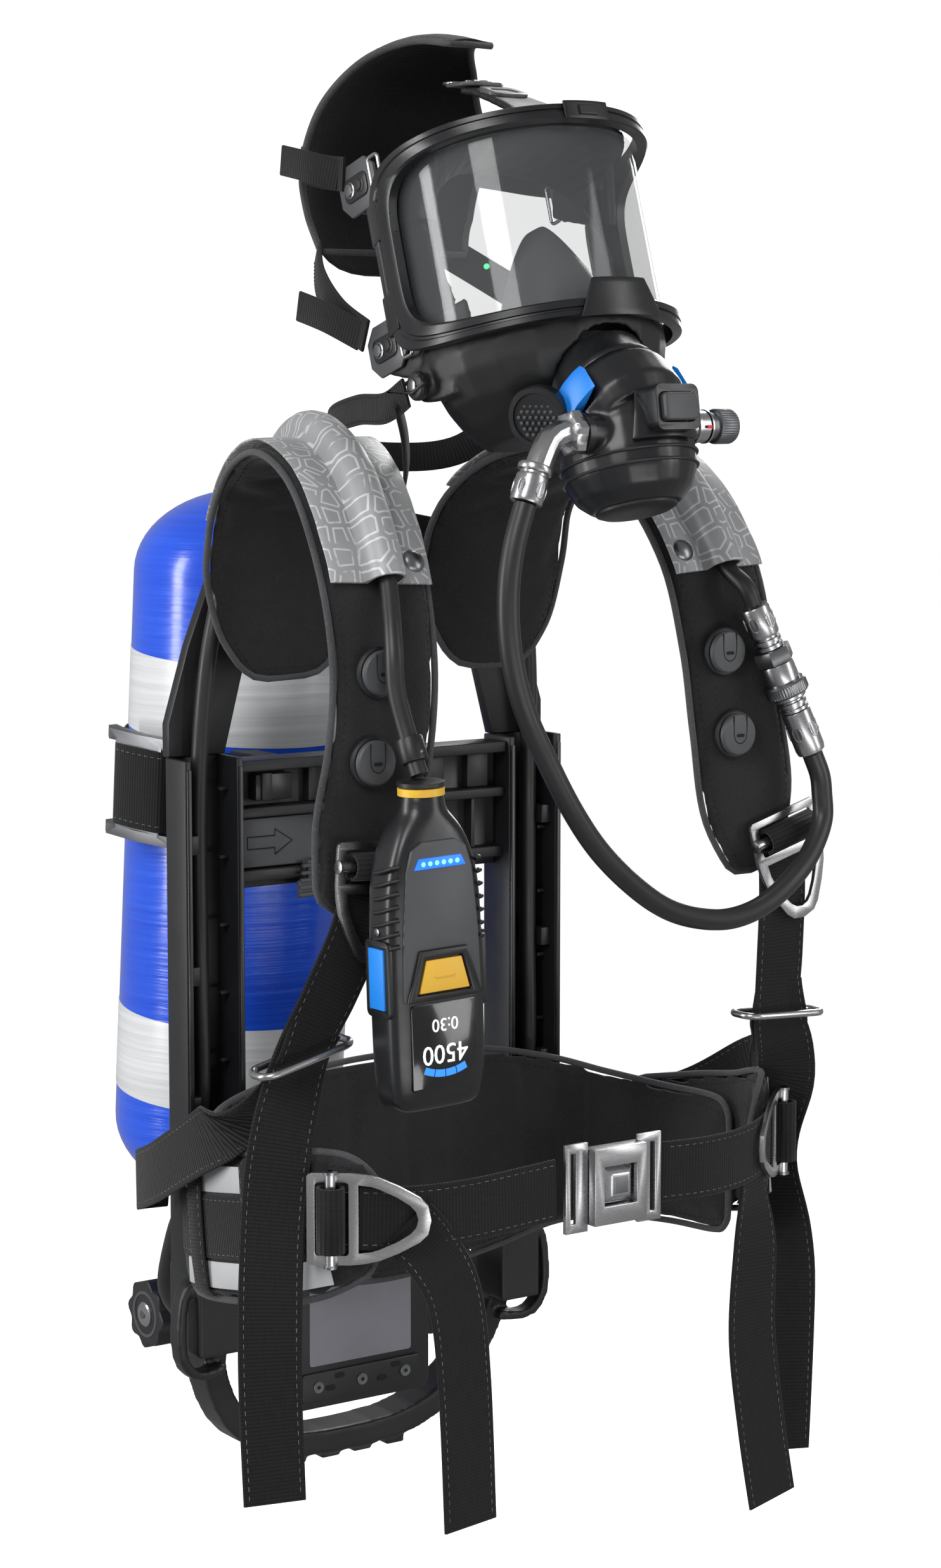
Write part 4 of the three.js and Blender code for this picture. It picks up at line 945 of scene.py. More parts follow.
def held_hose(side, ends):
    back = mirrored(side, [[66, 128, -164], [84, 124, -160], [118, 100, -128], [134, 62, -78], [138, 27, -28],
                           [138, 15, 26], [138, 15, 120], [138, 15, 236], [136, 11, 300], [130, 8, 350],
                           [116, 7, 396]])
    points = [Vector(p) for p in back] + [on_pad(side, i / 26) for i in range(7, 18)] + [Vector(p)
        for p in ends]
    return centripetal([p * MM for p in points], 6)


CONSOLE_HOSE_END = [(-145.5, -235.5, 356), (-146, -239, 331), (-142.5, -246, 304), (-140.5, -256, 280)]
SUPPLY_HOSE_END = [(138.8, -230.4, 382.8), (143.7, -231.9, 370.9)]
for name, side, end in (("console_hose", -1, CONSOLE_HOSE_END), ("supply_hose", 1, SUPPLY_HOSE_END)):
    tube(name + "_rubber", held_hose(side, end), 0.006, hose_rubber, "frame", 14, replaces=name)

# ---------------------------------------------------------------- webbing and its buckles
KEEPER = {"left": [-200, -213, 104], "right": [182, -215, 91]}
SHOULDER_RUNS = {"left": ([[-154, -226, 218, 1, 0, 0], [-157, -223, 204, 1, 0, -0.1],
                           [-166, -221, 175, 1, 0, -0.2], [-182, -218, 142, 1, 0, -0.3],
                           [*KEEPER["left"], 1, 0, -0.2], [-221, -221, 50, 0.9, -0.4, 0],
                           [-226, -219, -10, 0.75, -0.66, 0], [-228, -219, -90, 0.9, -0.4, 0],
                           [-227, -222, -174, 0.96, -0.3, 0]],
                          [[-190, -215, 122, 1, 0, -0.25], [-202, -207, 96, 1, 0.3, -0.2],
                           [-218, -176, 64, 0.5, 0.8, -0.6], [-221, -120, 34, 0, 0.5, -1],
                           [-217, -60, 4, 0, 0.3, -1], [-204, -14, -12, 0, 0, -1], [-186, 12, -20, 0, 0, -1],
                           [-160, 22, -24, 0, 0, -1]]), "right": ([[177, -224, 213, 1, 0, 0.25],
    [180, -220.4, 201, 1, 0, 0.2], [181, -220, 170, 1, 0, 0.1], [182, -217, 130, 1, 0, 0],
    [*KEEPER["right"], 1, 0, 0], [196, -207, 62, 0.9, -0.4, 0], [214, -188, 24, 0.1, -1, 0],
    [212, -182, -20, 0, -1, 0], [213, -190, -72, 0.4, -0.9, 0], [206, -200, -130, 0.9, -0.5, 0],
    [198, -208, -222, 1, -0.2, 0]], [[182, -216, 110, 1, 0, 0], [187, -210, 88, 1, -0.3, 0],
                                     [207, -185, 66, 0.5, -0.8, 0.6], [216, -140, 36, 0, -0.5, 1],
                                     [212, -90, 8, 0, -0.3, 1], [202, -36, -12, 0, 0, 1],
                                     [186, 4, -20, 0, 0, 1], [160, 22, -24, 0, 0, 1]]),}
BELT_RUNS = {"left": [[-196.8, -242, 8], [-179.5, -255.3, 7.5], [-162, -264.5, 7], [-138, -268, 6],
                      [-108, -269, 6], [-74, -267, 7], [-42, -264, 8]],
             "right": [[182.6, -211, 8], [167.1, -224.6, 7.5], [151.5, -237, 7], [130, -249, 6],
                       [104, -259, 6], [74, -265, 7], [42, -264, 8]],}
BELT_TAILS = {"left": [[-159, -268, 4, 0.5, -0.4, 1], [-141, -269, -16, 0.8, 0, 0.6],
                       [-121, -266, -50, 1, 0, 0.15], [-108, -258, -110, 1, 0, 0],
                       [-98, -250, -206, 1, 0, 0]], "right": [[140, -241.2, -4.1, -0.86, -0.5, 0.03],
    [140.5, -241.3, -26, -0.9, -0.4, 0], [141, -243, -60, -1, -0.1, 0.05], [140, -242, -120, -1, 0, 0],
    [152, -238, -186, -1, 0, 0], [166, -234, -244, -1, 0, 0]],}
WEB = 40


def strap(name, stations, replaces=()):
    """A length of webbing with stitches along both edges of both faces."""
    path = Path.through([[x, y, z, WEB, *across] for x, y, z, *across in stations], 60)
    lofted(name, path, strap_section(2.3), strap_cloth, "frame", replaces, slot="webbing")
    for out, face in ((1, "out"), (-1, "in")):
        strap_stitches(f"{name}_stitch_{face}", path, 3.6, out, "frame", pitch=6.0, length=3.6, wide=0.5,
                       high=0.2)


for name, side in SIDES:
    strap(f"shoulder_strap_{name}_tail", SHOULDER_RUNS[name][0], (f"shoulder_webbing_{name}",))
    strap(f"shoulder_strap_{name}_anchor", SHOULDER_RUNS[name][1])
    strap(f"belt_{name}_run", [[*p, 0, 0, -side] for p in BELT_RUNS[name]], (f"belt_webbing_{name}",))
    strap(f"belt_{name}_tail", BELT_TAILS[name])

BUCKLES = {
    "shoulder_buckle_left": ([-154, -228, 222], -3), "shoulder_buckle_right": ([178, -226, 217], 16),
    "waist_buckle_left": ([-199, -244.6, 8], ((0, 0, -1), (0.79, -0.61, 0))),
    "waist_buckle_right": ([185, -213.6, 8], ((0, 0, 1), (-0.77, -0.64, 0))),
}


def buckle_basis(name):
    origin, turn = BUCKLES[name]
    if isinstance(turn, tuple):
        return basis(origin, *turn)
    a = math.radians(turn)
    return basis(origin, (-math.cos(a), 0, -math.sin(a)), (math.sin(a), 0, -math.cos(a)))


def roller_buckle(name):
    """A pressed plate with a window and a D loop, its roller, and the turn of webbing round the roller."""
    m = buckle_basis(name)
    half = [(27, -15), (28.4, -13.6), (29, -11), (29, 12), (28, 21), (26, 30), (21, 42), (14, 55), (9, 60)]
    outline = half + [(0, 62)] + [(-x, y) for x, y in reversed(half)]
    window = rounded(23, 10.5, 2, 3, 0, 0.5)
    half = [(21.5, 17), (20.6, 25), (19, 30), (14, 41), (9, 49), (5, 52.6)]
    eye = half + [(0, 54)] + [(-x, y) for x, y in reversed(half)]
    slab(name + "_plate", outline, -1.5, 1.5, m, steel, name, 1.1, (window, eye), name, segments=3)
    x, y, z = m.to_3x3().col
    roller = m.translation / MM + z * 3.6
    lathe(name + "_roller", [(2, -31), (3.4, -30.4), (3.4, 30.4), (2, 31)], roller, x, steel, name, 20)
    for end in (-1, 1):
        lathe(f"{name}_roller_cap_{end + 1}", [(2.6, 0), (4.4, 0.3), (4.4, 2.0), (2.6, 2.6)],
              roller + x * (end * 28.4), x * end, dark_steel_and_shade, name, 20)
    verts, uv = [], []
    for i in range(29):
        a = 2 * math.pi * i / 28
        r = 6.8 if i < 27 else 6.2
        for s in (-WEB / 2 - 0.5, WEB / 2 + 0.5):
            verts.append((roller + x * s + (y * math.cos(a) + z * math.sin(a)) * r) * MM)
            uv.append((a * r * MM, s * MM))
    roll = build(name + "_strap_roll", verts, quads(29, 2, closed=False), strap_cloth, "frame", uv, 60,
                 slot="webbing")
    modified(roll, "SOLIDIFY", thickness=0.0022, offset=-1)
    baked(roll)


for name in BUCKLES:
    roller_buckle(name)

for side, turn in (("left", -14), ("right", 3)):
    ring = [Vector((a, b, 0)) for a, b in rounded(33, 12, 9, 8)]
    m = Matrix.Translation(Vector(KEEPER[side]) * MM) @ Matrix.Rotation(math.radians(turn), 4, "Y")
    tube("strap_keeper_" + side + "_wire", [m @ (p * MM) for p in ring], 0.0024, steel, "frame", 12, True,
         replaces="strap_keeper_" + side)

# ---------------------------------------------------------------- belt buckle
refined("belt_buckle", steel, 1.2, 3)
refined("belt_tongue", steel, 0.6, 2)
BELT_FRONT = basis((1, -268, 8), (1, 0, 0), (0, 0, 1))


def sloped_plate(name, low, high, half_low, half_high, material, on, replaces=()):
    """A square plate whose sides slope in towards its raised face."""
    ring = [(1, 1), (-1, 1), (-1, -1), (1, -1)]
    verts = [BELT_FRONT @ (Vector((a * h, b * h, z)) * MM) for z, h in ((low, half_low), (high, half_high))
             for a, b in ring]
    obj = build(name, verts, quads(2, 4), material, on, replaces=replaces)
    modified(obj, "BEVEL", width=0.0007, segments=3)
    baked(obj)
    smooth_shading(obj.data, 30)


sloped_plate("belt_button_plate", 4.2, 8.8, 11.8, 7.2, steel, "belt_button", "belt_button")
sloped_plate("belt_button_face", 8.6, 9.3, 5.6, 5.2, grey_metal, "belt_button")

# ---------------------------------------------------------------- mask
MASK = {"y": -165, "z": 598, "tilt": math.radians(-18), "radius": 85, "half": 60, "wrap": 108}
MASK_BASIS = Matrix.Translation((0, MASK["y"] * MM, MASK["z"] * MM)) @ Matrix.Rotation(MASK["tilt"], 4, "X")


def in_mask(x, y, z):
    """A point in the mask's own frame, in mm, as a point in the row frame, in metres."""
    return MASK_BASIS @ Vector((x * MM, y * MM, z * MM))


def mask_dir(x, y, z):
    return (MASK_BASIS.to_3x3() @ Vector((x, y, z))).normalized()


def visor_point(turn, height, r):
    a = math.radians(turn)
    return in_mask(r * math.sin(a), -r * math.cos(a), height)


def visor_edge(laps, grow_angle, grow_height):
    """The visor's rounded edge, evenly spaced, as pairs of turn in degrees and height in mm."""
    corner = lambda v: math.copysign(abs(v) ** 0.42, v)
    dense = [((MASK["wrap"] + grow_angle) * corner(math.cos(a)),
              (MASK["half"] + grow_height) * corner(math.sin(a)))
             for a in (math.pi * i / 360 for i in range(721))]
    arc = math.radians(1) * MASK["radius"]
    run = [0.0]
    for (t0, h0), (t1, h1) in zip(dense, dense[1:]):
        run.append(run[-1] + math.hypot((t1 - t0) * arc, h1 - h0))
    out, i = [], 1
    for k in range(laps):
        want = run[-1] * k / laps
        while run[i] <= want:
            i += 1
        s = (want - run[i - 1]) / (run[i] - run[i - 1])
        out.append(tuple(a + (b - a) * s for a, b in zip(dense[i - 1], dense[i])))
    return out


def visor_shell():
    """The glass: a curved pane 2 mm thick inside the frame's edge."""
    rows = 72
    verts = []
    for i in range(rows + 1):
        turn = (MASK["wrap"] - 5) * (2 * i / rows - 1)
        high = (MASK["half"] - 3) * (1 - abs(turn / MASK["wrap"]) ** 4.8) ** (1 / 4.8)
        for r, up in ((MASK["radius"] + 0.2, 1), (MASK["radius"] - 1.8, -1)):
            verts += [visor_point(turn, high * up * (k / 3 - 1), r) for k in range(7)]
    build("visor_glass", verts, quads(rows + 1, 14), glass, "mask", sharp=50, replaces="visor")


visor_shell()


def visor_frame():
    """The stepped ring that clamps the visor."""
    laps = 180
    inner, outer = visor_edge(laps, -16, -2), visor_edge(laps, 3, 9)
    profile = [(0.0, 87.7), (1.0, 87.7), (1.0, 92.6), (0.93, 94.0), (0.66, 94.3), (0.60, 93.3), (0.50, 93.3),
               (0.45, 94.6), (0.10, 95.0), (0.0, 94.0)]
    verts = [visor_point(t0 + (t1 - t0) * k, h0 + (h1 - h0) * k, r) for (t0, h0),
             (t1, h1) in zip(inner, outer) for k, r in profile]
    faces = quads(laps, len(profile), looped=True, flip=True)
    build("visor_frame_ring", verts, faces, satin_plastic, "mask", sharp=30, replaces="visor_frame")


visor_frame()
refined("face_piece", rubber, voxel=1.25, smooth=8)


def face_liner():
    """The smooth inner band of the face piece, from the visor's edge back to the face."""
    laps, rows = 72, 5
    verts = []
    for i, (turn, height) in enumerate(visor_edge(laps, -2, 3)):
        a, t = 2 * math.pi * i / laps, math.radians(turn)
        c, s = math.cos(a), math.sin(a)
        fore = Vector((81 * math.sin(t), -81 * math.cos(t), height))
        back = Vector((68 * c, 18 - 26 * abs(c) + 10 * s, (94 if s < 0 else 68) * s))
        verts += [in_mask(*fore.lerp(back, 0.02 + 0.94 * k / rows)) for k in range(rows + 1)]
    faces = quads(laps, rows + 1, closed=False, looped=True, flip=True)
    obj = build("face_piece_liner", verts, faces, rubber, "face_piece", sharp=60)
    modified(obj, "SOLIDIFY", thickness=2.2 * MM, offset=0)
    baked(obj)
    smooth_shading(obj.data, 60)


face_liner()
refined("nose_cup", grey_plastic, voxel=1.3, smooth=6)
refined("mask_port", satin_plastic, 0.5)


# ---------------------------------------------------------------- head harness and neck strap
HARNESS = [[0, -110, 740, 34], [0, -76, 746, 52], [0, -40, 744, 96], [0, -6, 726, 128], [0, 18, 692, 140],
           [0, 27, 652, 142], [0, 20, 616, 132], [0, 6, 590, 118]]


CUPPING = 2.1


def cupped_section(width, _):
    """The panel's section: 2.2 mm thick, and curved round the head."""
    outer = [(a * width / 2, -CUPPING * (width * a) ** 2) for a in (k / 9 * 2 - 1 for k in range(10))]
    return [(a, o - 0.0011) for a, o in outer] + [(a, o + 0.0011) for a, o in reversed(outer)]


harness_path = Path.through([[*s, 1, 0, 0] for s in HARNESS], 54)
harness = lofted("harness_panel", harness_path, cupped_section, panel_cloth, "mask", "head_harness", sharp=60)
wrinkled(harness, 0.5, 0.03, 4.0)


def cupped_edge(share, lift=0.0):
    """A line along the panel, at a share of its half width."""
    return [p + a * share * w / 2 + o * (lift - CUPPING * (w * share) ** 2) for p, a, o, w,
            _ in harness_path.frames]


rim = cupped_edge(-1) + cupped_edge(1)[::-1]
tube("harness_binding", rim, 0.0024, binding_cloth, "mask", 8, closed=True, slot="pad_fabric")
for row, share in enumerate((-0.86, 0.86)):
    dashes(f"harness_stitches_{row}", cupped_edge(share, 0.0014), [f[2] for f in harness_path.frames],
           dark_thread_and_shade, "mask", pitch=5, length=3.2)

SIDE_STRAPS = {
    "upper": [[66, -8, 664, 22], [78, -30, 660, 22], [84, -62, 655, 22], [86, -90, 652, 22]],
    "lower": [[54, -8, 606, 22], [74, -42, 584, 22], [86, -84, 562, 22], [88, -118, 548, 22]],
}
STRAP_TAILS = {
    "upper": [[86, -84, 652, 20], [94, -60, 658, 20], [92, -24, 664, 20]],
    "lower": [[88, -112, 548, 20], [96, -84, 560, 20], [96, -50, 568, 20]],
}
for name, side in SIDES:
    for level in ("upper", "lower"):
        tip = 0.0 if level == "upper" else 0.3
        for kind, table in (("strap", SIDE_STRAPS), ("tail", STRAP_TAILS)):
            rows = [[*s, 0, tip, side] for s in mirrored(side, table[level])]
            path = Path.through(rows, 24)
            lofted(f"head_{kind}_{level}_{name}", path, strap_section(2.2), strap_cloth, "mask",
                   slot="webbing")
            strap_stitches(f"head_{kind}_{level}_{name}_stitch", path, 2.4, 1, "mask", dark_thread_and_shade, pitch=5,
                           length=3, wide=0.7)

NECK_LOOP = [[-93, -172, 512], [-92, -146, 502], [-78, -92, 500], [-58, -28, 490], [-26, 6, 472],
             [18, 8, 466], [54, -14, 470], [80, -50, 494], [90, -110, 504], [93, -172, 512]]
NECK_TAIL = [[-93, -160, 508], [-80, -150, 486], [-62, -126, 464], [-54, -110, 446]]
neck_path = Path.through([[*p, 20, 0, 0, 1] for p in NECK_LOOP], 72)
lofted("neck_strap_loop", neck_path, strap_section(2.2), strap_cloth, "mask", "neck_strap", slot="webbing")
strap_stitches("neck_strap_stitch", neck_path, 2.4, 1, "mask", dark_thread_and_shade, pitch=6, length=3.4, wide=0.7)
tail_path = Path.through([[*p, 20, 0.6, 0.7, 0.4] for p in NECK_TAIL], 24)
lofted("neck_strap_tail", tail_path, strap_section(2.2), strap_cloth, "mask", slot="webbing")

# ---------------------------------------------------------------- demand valve
refined("demand_valve", satin_plastic, voxel=1.3, smooth=5)
for side in ("left", "right"):
    refined("release_button_" + side, azure, 0.8, 3)
refined("hose_elbow", steel, 0.3, 2)

# ---------------------------------------------------------------- console
refined("console_key", yellow, 0.6, 3)
for side in ("left", "right"):
    refined("console_side_key_" + side, azure, 0.8, 3)


# ---------------------------------------------------------------- small shaped pieces
def block(name, x0, x1, y0, y1, z0, z1, material, on, bevel):
    """A box between mm limits, with rounded edges."""
    m = basis(((x0 + x1) / 2, (y0 + y1) / 2, (z0 + z1) / 2), (1, 0, 0), (0, 1, 0))
    outline = [((x1 - x0) / 2 * a, (y1 - y0) / 2 * b) for a, b in ((1, 1), (-1, 1), (-1, -1), (1, -1))]
    h = (z1 - z0) / 2
    slab(name, outline, -h, h, m, material, on, bevel)


def sheet_patch(name, rows, columns, point, thick, material, on, bevel):
    """A thin curved plate through point(u, v), u and v from 0 to 1, with thickness outwards of its faces."""
    verts = [point(u / columns, v / rows) for v in range(rows + 1) for u in range(columns + 1)]
    obj = build(name, verts, quads(rows + 1, columns + 1, closed=False), material, on)
    modified(obj, "SOLIDIFY", thickness=thick * MM, offset=1)
    rounded_edges(obj, bevel, 2, 40)
    baked(obj)
    smooth_shading(obj.data, 32)


def side_basis(parent, side, origin):
    """A frame on a part's side: local x to the back, local y up, and z straight out of that side."""
    return parent @ basis(origin, (0, side, 0), (0, 0, 1))


def oval_flats(name, origin, axis, radius, count, on, size=(2.6, 4.6)):
    """Oval flats pressed round a crimped ferrule, their floors in darker steel as painted shade."""
    z = Vector(axis).normalized()
    x = z.orthogonal().normalized()
    y = z.cross(x)
    oval = [(size[0] * math.cos(t), size[1] * math.sin(t)) for t in (2 * math.pi * k / 20 for k in range(20))]
    rim = [(1.35 * a, 1.22 * b) for a, b in oval]
    for k in range(count):
        a = 2 * math.pi * (k + 0.25) / count
        out = x * math.cos(a) + y * math.sin(a)
        m = basis(Vector(origin) + out * radius, z.cross(out), z)
        if (m.to_3x3().col[2]).dot(out) < 0:
            m = basis(Vector(origin) + out * radius, out.cross(z), z)
        slab(f"{name}_rim_{k}", rim, -1.2, 0.35, m, steel, on, 0.25, (oval[::-1],))
        # painted shade: the pressed flat is darker steel than its rim, standing for the shade in the dimple
        slab(f"{name}_flat_{k}", oval, -1.2, 0.05, m, dark_steel_and_shade, on, 0)


def hexed(rows):
    """Turns the given rows of a lathe profile into a hexagon."""
    def radial(a, i):
        return 1 / math.cos((a % (math.pi / 3)) - math.pi / 6) if i in rows else 1
    return radial


def knurled(rows, depth=0.035, teeth=45):
    """Cuts fine teeth into the given rows of a lathe profile."""
    def radial(a, i):
        return 1 - depth * (0.5 + 0.5 * math.cos(a * teeth)) if i in rows else 1
    return radial


def lettering(name, text, size, m, material, on):
    """Digits standing on a surface, turned upside down as the display shows them."""
    curve = bpy.data.curves.new(name, "FONT")
    curve.body, curve.size, curve.extrude = text, size * MM, 0.25 * MM
    curve.align_x, curve.align_y = "CENTER", "CENTER"
    curve.resolution_u = 3
    data = meshed(name + "_curve", curve)
    data.transform(m @ Matrix.Rotation(math.pi, 4, "Z"))
    data.materials.clear()
    data.materials.append(material)
    place(added(name, data), on)


# ---------------------------------------------------------------- console details
CONSOLE_BASIS = Matrix.Translation((-0.137, -0.258, 0.166)) @ Matrix.Rotation(math.radians(-2), 4, "Y")
CONSOLE_RINGS = [(-93, 22, 8.5), (-92, 27, 12), (-88, 31.5, 14.8), (-80, 34, 16.4), (-60, 35, 17),
                 (-30, 35.2, 17.1), (0, 35.3, 17.1), (30, 35, 17.1), (48, 33.8, 17), (62, 31, 16.6),
                 (74, 27, 16), (83, 22.5, 15.4), (89, 18.5, 14.8), (93, 15.5, 14.3), (98, 14.2, 13.9),
                 (110, 13.6, 13.6)]


def console_body():
    """The case: squared rings of [height, half width, half depth] that turn round at the neck."""
    verts = []
    n = 64
    for z, w, d in CONSOLE_RINGS:
        power = 0.42 if z < 80 else 0.42 + 0.58 * min(1, (z - 80) / 14)
        squared = lambda v: math.copysign(abs(v) ** power, v)
        for a in (2 * math.pi * k / n for k in range(n)):
            verts.append(CONSOLE_BASIS @ (Vector((w * squared(math.cos(a)), d * squared(math.sin(a)),
                z)) * MM))
    faces = quads(len(CONSOLE_RINGS), n)
    smoother(build("console_case_body", verts, faces, satin_plastic, "console_case", replaces="console_case"),
             60)


console_body()
on_front = CONSOLE_BASIS @ basis((0, -17, 0), (1, 0, 0), (0, 0, 1))
for name, profile, material in (("collar", [(13.2, 102), (14.6, 102.4), (14.6, 107), (13.2, 107.4)], yellow),
                                ("rim", [(10, 107.6), (14.9, 108), (14.9, 110.6), (12, 111.6)],
                                 black_plastic)):
    lathe("console_neck_" + name, profile, CONSOLE_BASIS.translation / MM, CONSOLE_BASIS.to_3x3().col[2],
          material, "console_case", 40)
half = [(28.5, -22), (27.5, 20), (24, 58), (20, 71), (12, 76)]
panel = half + [(-x, y) for x, y in reversed(half)]
key_well = [(-13.8, 4.2), (13.8, 4.2), (20.2, -18), (-20.2, -18)]
slab("console_front_panel", panel, -3, 0.9, on_front, grey_plastic, "console_case", 0.8, (key_well,),
     segments=3)
slab("console_key_bezel", [(-27.5, -22), (27.5, -22), (17.5, 9.5), (-17.5, 9.5)], 0, 3.4, on_front,
     satin_plastic, "console_case", 1.2, (key_well,), segments=3)
slab("console_key_slot", rounded(7.5, 1.5, 1.4, cy=-7), 2.8, 3.6, on_front, yellow, "console_key", 0.3)
led = glowing("led_blue", (0.006, 0.09, 1.0), 2.2)
led_bright = glowing("led_core", (0.10, 0.42, 1.0), 3.2)
slab("console_light_bar", [(-19, 59.3), (19, 59.3), (15.5, 65.9), (-15.5, 65.9)], 0.4, 1.7, on_front, led,
     "console_case", 0.5)
for k in range(6):
    lathe(f"console_light_{k}", [(1.5, 1.5), (1.5, 2.0), (0.8, 2.3)],
          (on_front @ Vector((-0.0125 + 0.005 * k, 0.0625, 0))) / MM, on_front.to_3x3().col[2], led_bright,
          "console_case", 10)
screen_black = plastic("screen_black", (0.004, 0.004, 0.0045), 0.12, 0.0, Coat_Weight=0.5,
                       Coat_Roughness=0.05)
screen_white = glowing("screen_white", (0.8, 0.82, 0.84), 0.75)
screen_blue = glowing("screen_blue", (0.02, 0.20, 0.85), 0.9)
slab("console_screen", rounded(24, 27, 2, 4, 0, -51.5), -1, 0.7, on_front, screen_black, "console_case", 0.3)
lift = lambda x, z: on_front @ Matrix.Translation((x * MM, z * MM, 0.0009))
lettering("console_pressure", "4500", 17, lift(0, -56), screen_white, "console_case")
lettering("console_time", "0:30", 11.5, lift(0.5, -38), screen_white, "console_case")
for k in range(4):
    a0, a1 = (math.radians(246 + 12.2 * k + d) for d in (0, 11))
    arc = [(r * math.cos(t), -31 + r * math.sin(t)) for r, start, end in ((40, a0, a1), (35.5, a1, a0))
           for t in (start + (end - start) * i / 5 for i in range(6))]
    slab(f"console_arc_{k}", arc, 0.7, 1.0, on_front, screen_blue, "console_case", 0)
for name, side in SIDES:
    for k in range(7):
        z = 10 + 8.2 * k
        w = 35.4 - 0.045 * max(0, z - 30) ** 1.4 / 4
        rib = [CONSOLE_BASIS @ (Vector((side * (w - sink), y, z + up)) * MM)
               for sink, y, up in ((0.2, 3, -2), (0.1, -6, 0), (1.6, -13.6, 2.4), (5.5, -16.7, 3.4))]
        tube(f"console_rib_{name}_{k}", centripetal(rib, 4), 0.0013, rubber, "console_case", 8)
    m = side_basis(CONSOLE_BASIS, side, (side * 35, 0, -8))
    slab(f"console_side_bezel_{name}", rounded(12.5, 24, 4), -3, 1.6, m, satin_plastic, "console_case", 0.9,
         (rounded(8.6, 19.6, 2)[::-1],))
    lathe(f"console_side_screw_{name}", [(2.6, -0.5), (2.6, 0.8), (1.6, 1.2)],
          m.translation / MM + m.to_3x3().col[1] * 29, m.to_3x3().col[2], dark_steel_and_shade, "console_case", 14)

# ---------------------------------------------------------------- demand valve details
BULB_AXIS = Vector((0, 0.3, 1)).normalized()
BULB_BASE = Vector((0, -290, 441))
for k, (r, h) in enumerate(((42.6, 21), (43.4, 29))):
    lathe(f"valve_ring_{k}", [(r - 2, h - 1), (r + 0.7, h - 0.8), (r + 1, h), (r + 0.7, h + 0.8),
                              (r - 2, h + 1)], BULB_BASE, BULB_AXIS, black_plastic, "demand_valve", 72)
lathe("valve_base_cap", [(10, -3.4), (22, -3.2), (25.5, -1.6), (26, 1.5)], BULB_BASE, BULB_AXIS, rubber,
      "demand_valve", 48)
BULB_FRONT = Vector((0, -1, 0.3)).normalized()
BULB_RADII = [(0, 28), (8, 37), (20, 42), (32, 43), (50, 41), (72, 34), (80, 30)]


def on_bulb(degrees, height, lift):
    """A point on the bulb, 0 being its front."""
    for (h0, r0), (h1, r1) in zip(BULB_RADII, BULB_RADII[1:]):
        if height <= h1:
            r = r0 + (r1 - r0) * (height - h0) / (h1 - h0)
            break
    a = math.radians(degrees)
    out = BULB_FRONT * math.cos(a) + Vector((math.sin(a), 0, 0))
    return (BULB_BASE + BULB_AXIS * height + out * (r + lift)) * MM


sheet_patch("valve_front_shield", 12, 12, lambda u, v: on_bulb((u * 2 - 1) * (33 - 10 * v), 33 + 32 * v, 2.2),
            3.2, satin_plastic, "demand_valve", 0.9)
purge = basis((0, -325.6, 503.62), (1, 0, 0), (0, 0.156, 0.988))
slab("purge_button_cap", rounded(12.5, 8.6, 3, 5), 0, 9.6, purge, grey_plastic, "purge_button", 1.6,
     replaces="purge_button", segments=3)
slab("purge_surround", rounded(16.8, 14.0, 5, 6), -14, 5.2, purge, satin_plastic, "demand_valve", 1.6,
     (rounded(13.3, 9.4, 3.4, 6)[::-1],), segments=3)
BYPASS = (0, -290, 491)
lathe("bypass_knob_turned", [(6.8, 46), (6.8, 54), (8.6, 54.2), (8.8, 55), (8.8, 59.6), (10.4, 60),
                             (11.2, 61), (11.2, 72.6), (10.4, 74), (4, 74.4), (3.6, 73.2)], BYPASS, (1, 0, 0),
      grey_metal, "bypass_knob", 180, replaces="bypass_knob", radial=knurled((6, 7)))
lathe("bypass_collar", [(8, 52.2), (10.8, 52.4), (10.8, 53.6), (8, 53.8)], BYPASS, (1, 0, 0), steel,
      "demand_valve", 40)
lathe("bypass_neck", [(10.1, 34), (11.2, 35), (11.2, 38), (10.1, 39), (10.1, 41), (11.2, 42), (11.2, 44),
                      (10.1, 45), (10.1, 51.4)], BYPASS, (1, 0, 0), steel, "demand_valve", 40)
red = plastic("red_mark", (0.6, 0.012, 0.012), 0.4, 0.05)
block("bypass_mark", 47, 51, -301.6, -300.9, 490, 492.2, red, "demand_valve", 0.1)
lathe("elbow_nut", [(8.6, 0), (12.0, 0.4), (12.6, 1.4), (12.6, 7.4), (12.0, 8.6), (9, 9)], (-48.9, -294, 488),
      (-1, 0, 0), steel, "hose_elbow", 60, radial=hexed((2, 3)))
lathe("elbow_seat", [(10.8, -6), (12.6, -5.6), (12.6, -1), (11.4, -0.4), (8.6, -0.2)], (-48.9, -294, 488),
      (-1, 0, 0), satin_plastic, "demand_valve", 48)
FERRULE_AXIS = Vector((9, 1, 23)).normalized()
FERRULE = Vector((-95, -303, 446))
lathe("elbow_ferrule", [(7.2, 0.6), (9.6, 1), (10.1, 2.4), (10.1, 16.6), (9.6, 18), (8.7, 18.6), (8.7, 20),
                        (10.6, 20.6), (10.9, 21.6), (10.9, 24), (10.2, 25), (8.6, 25.4)], FERRULE,
      FERRULE_AXIS, steel, "hose_elbow", 48)
oval_flats("elbow_ferrule", FERRULE + FERRULE_AXIS * 9.5, FERRULE_AXIS, 10.0, 5, "hose_elbow", (2.2, 4.6))

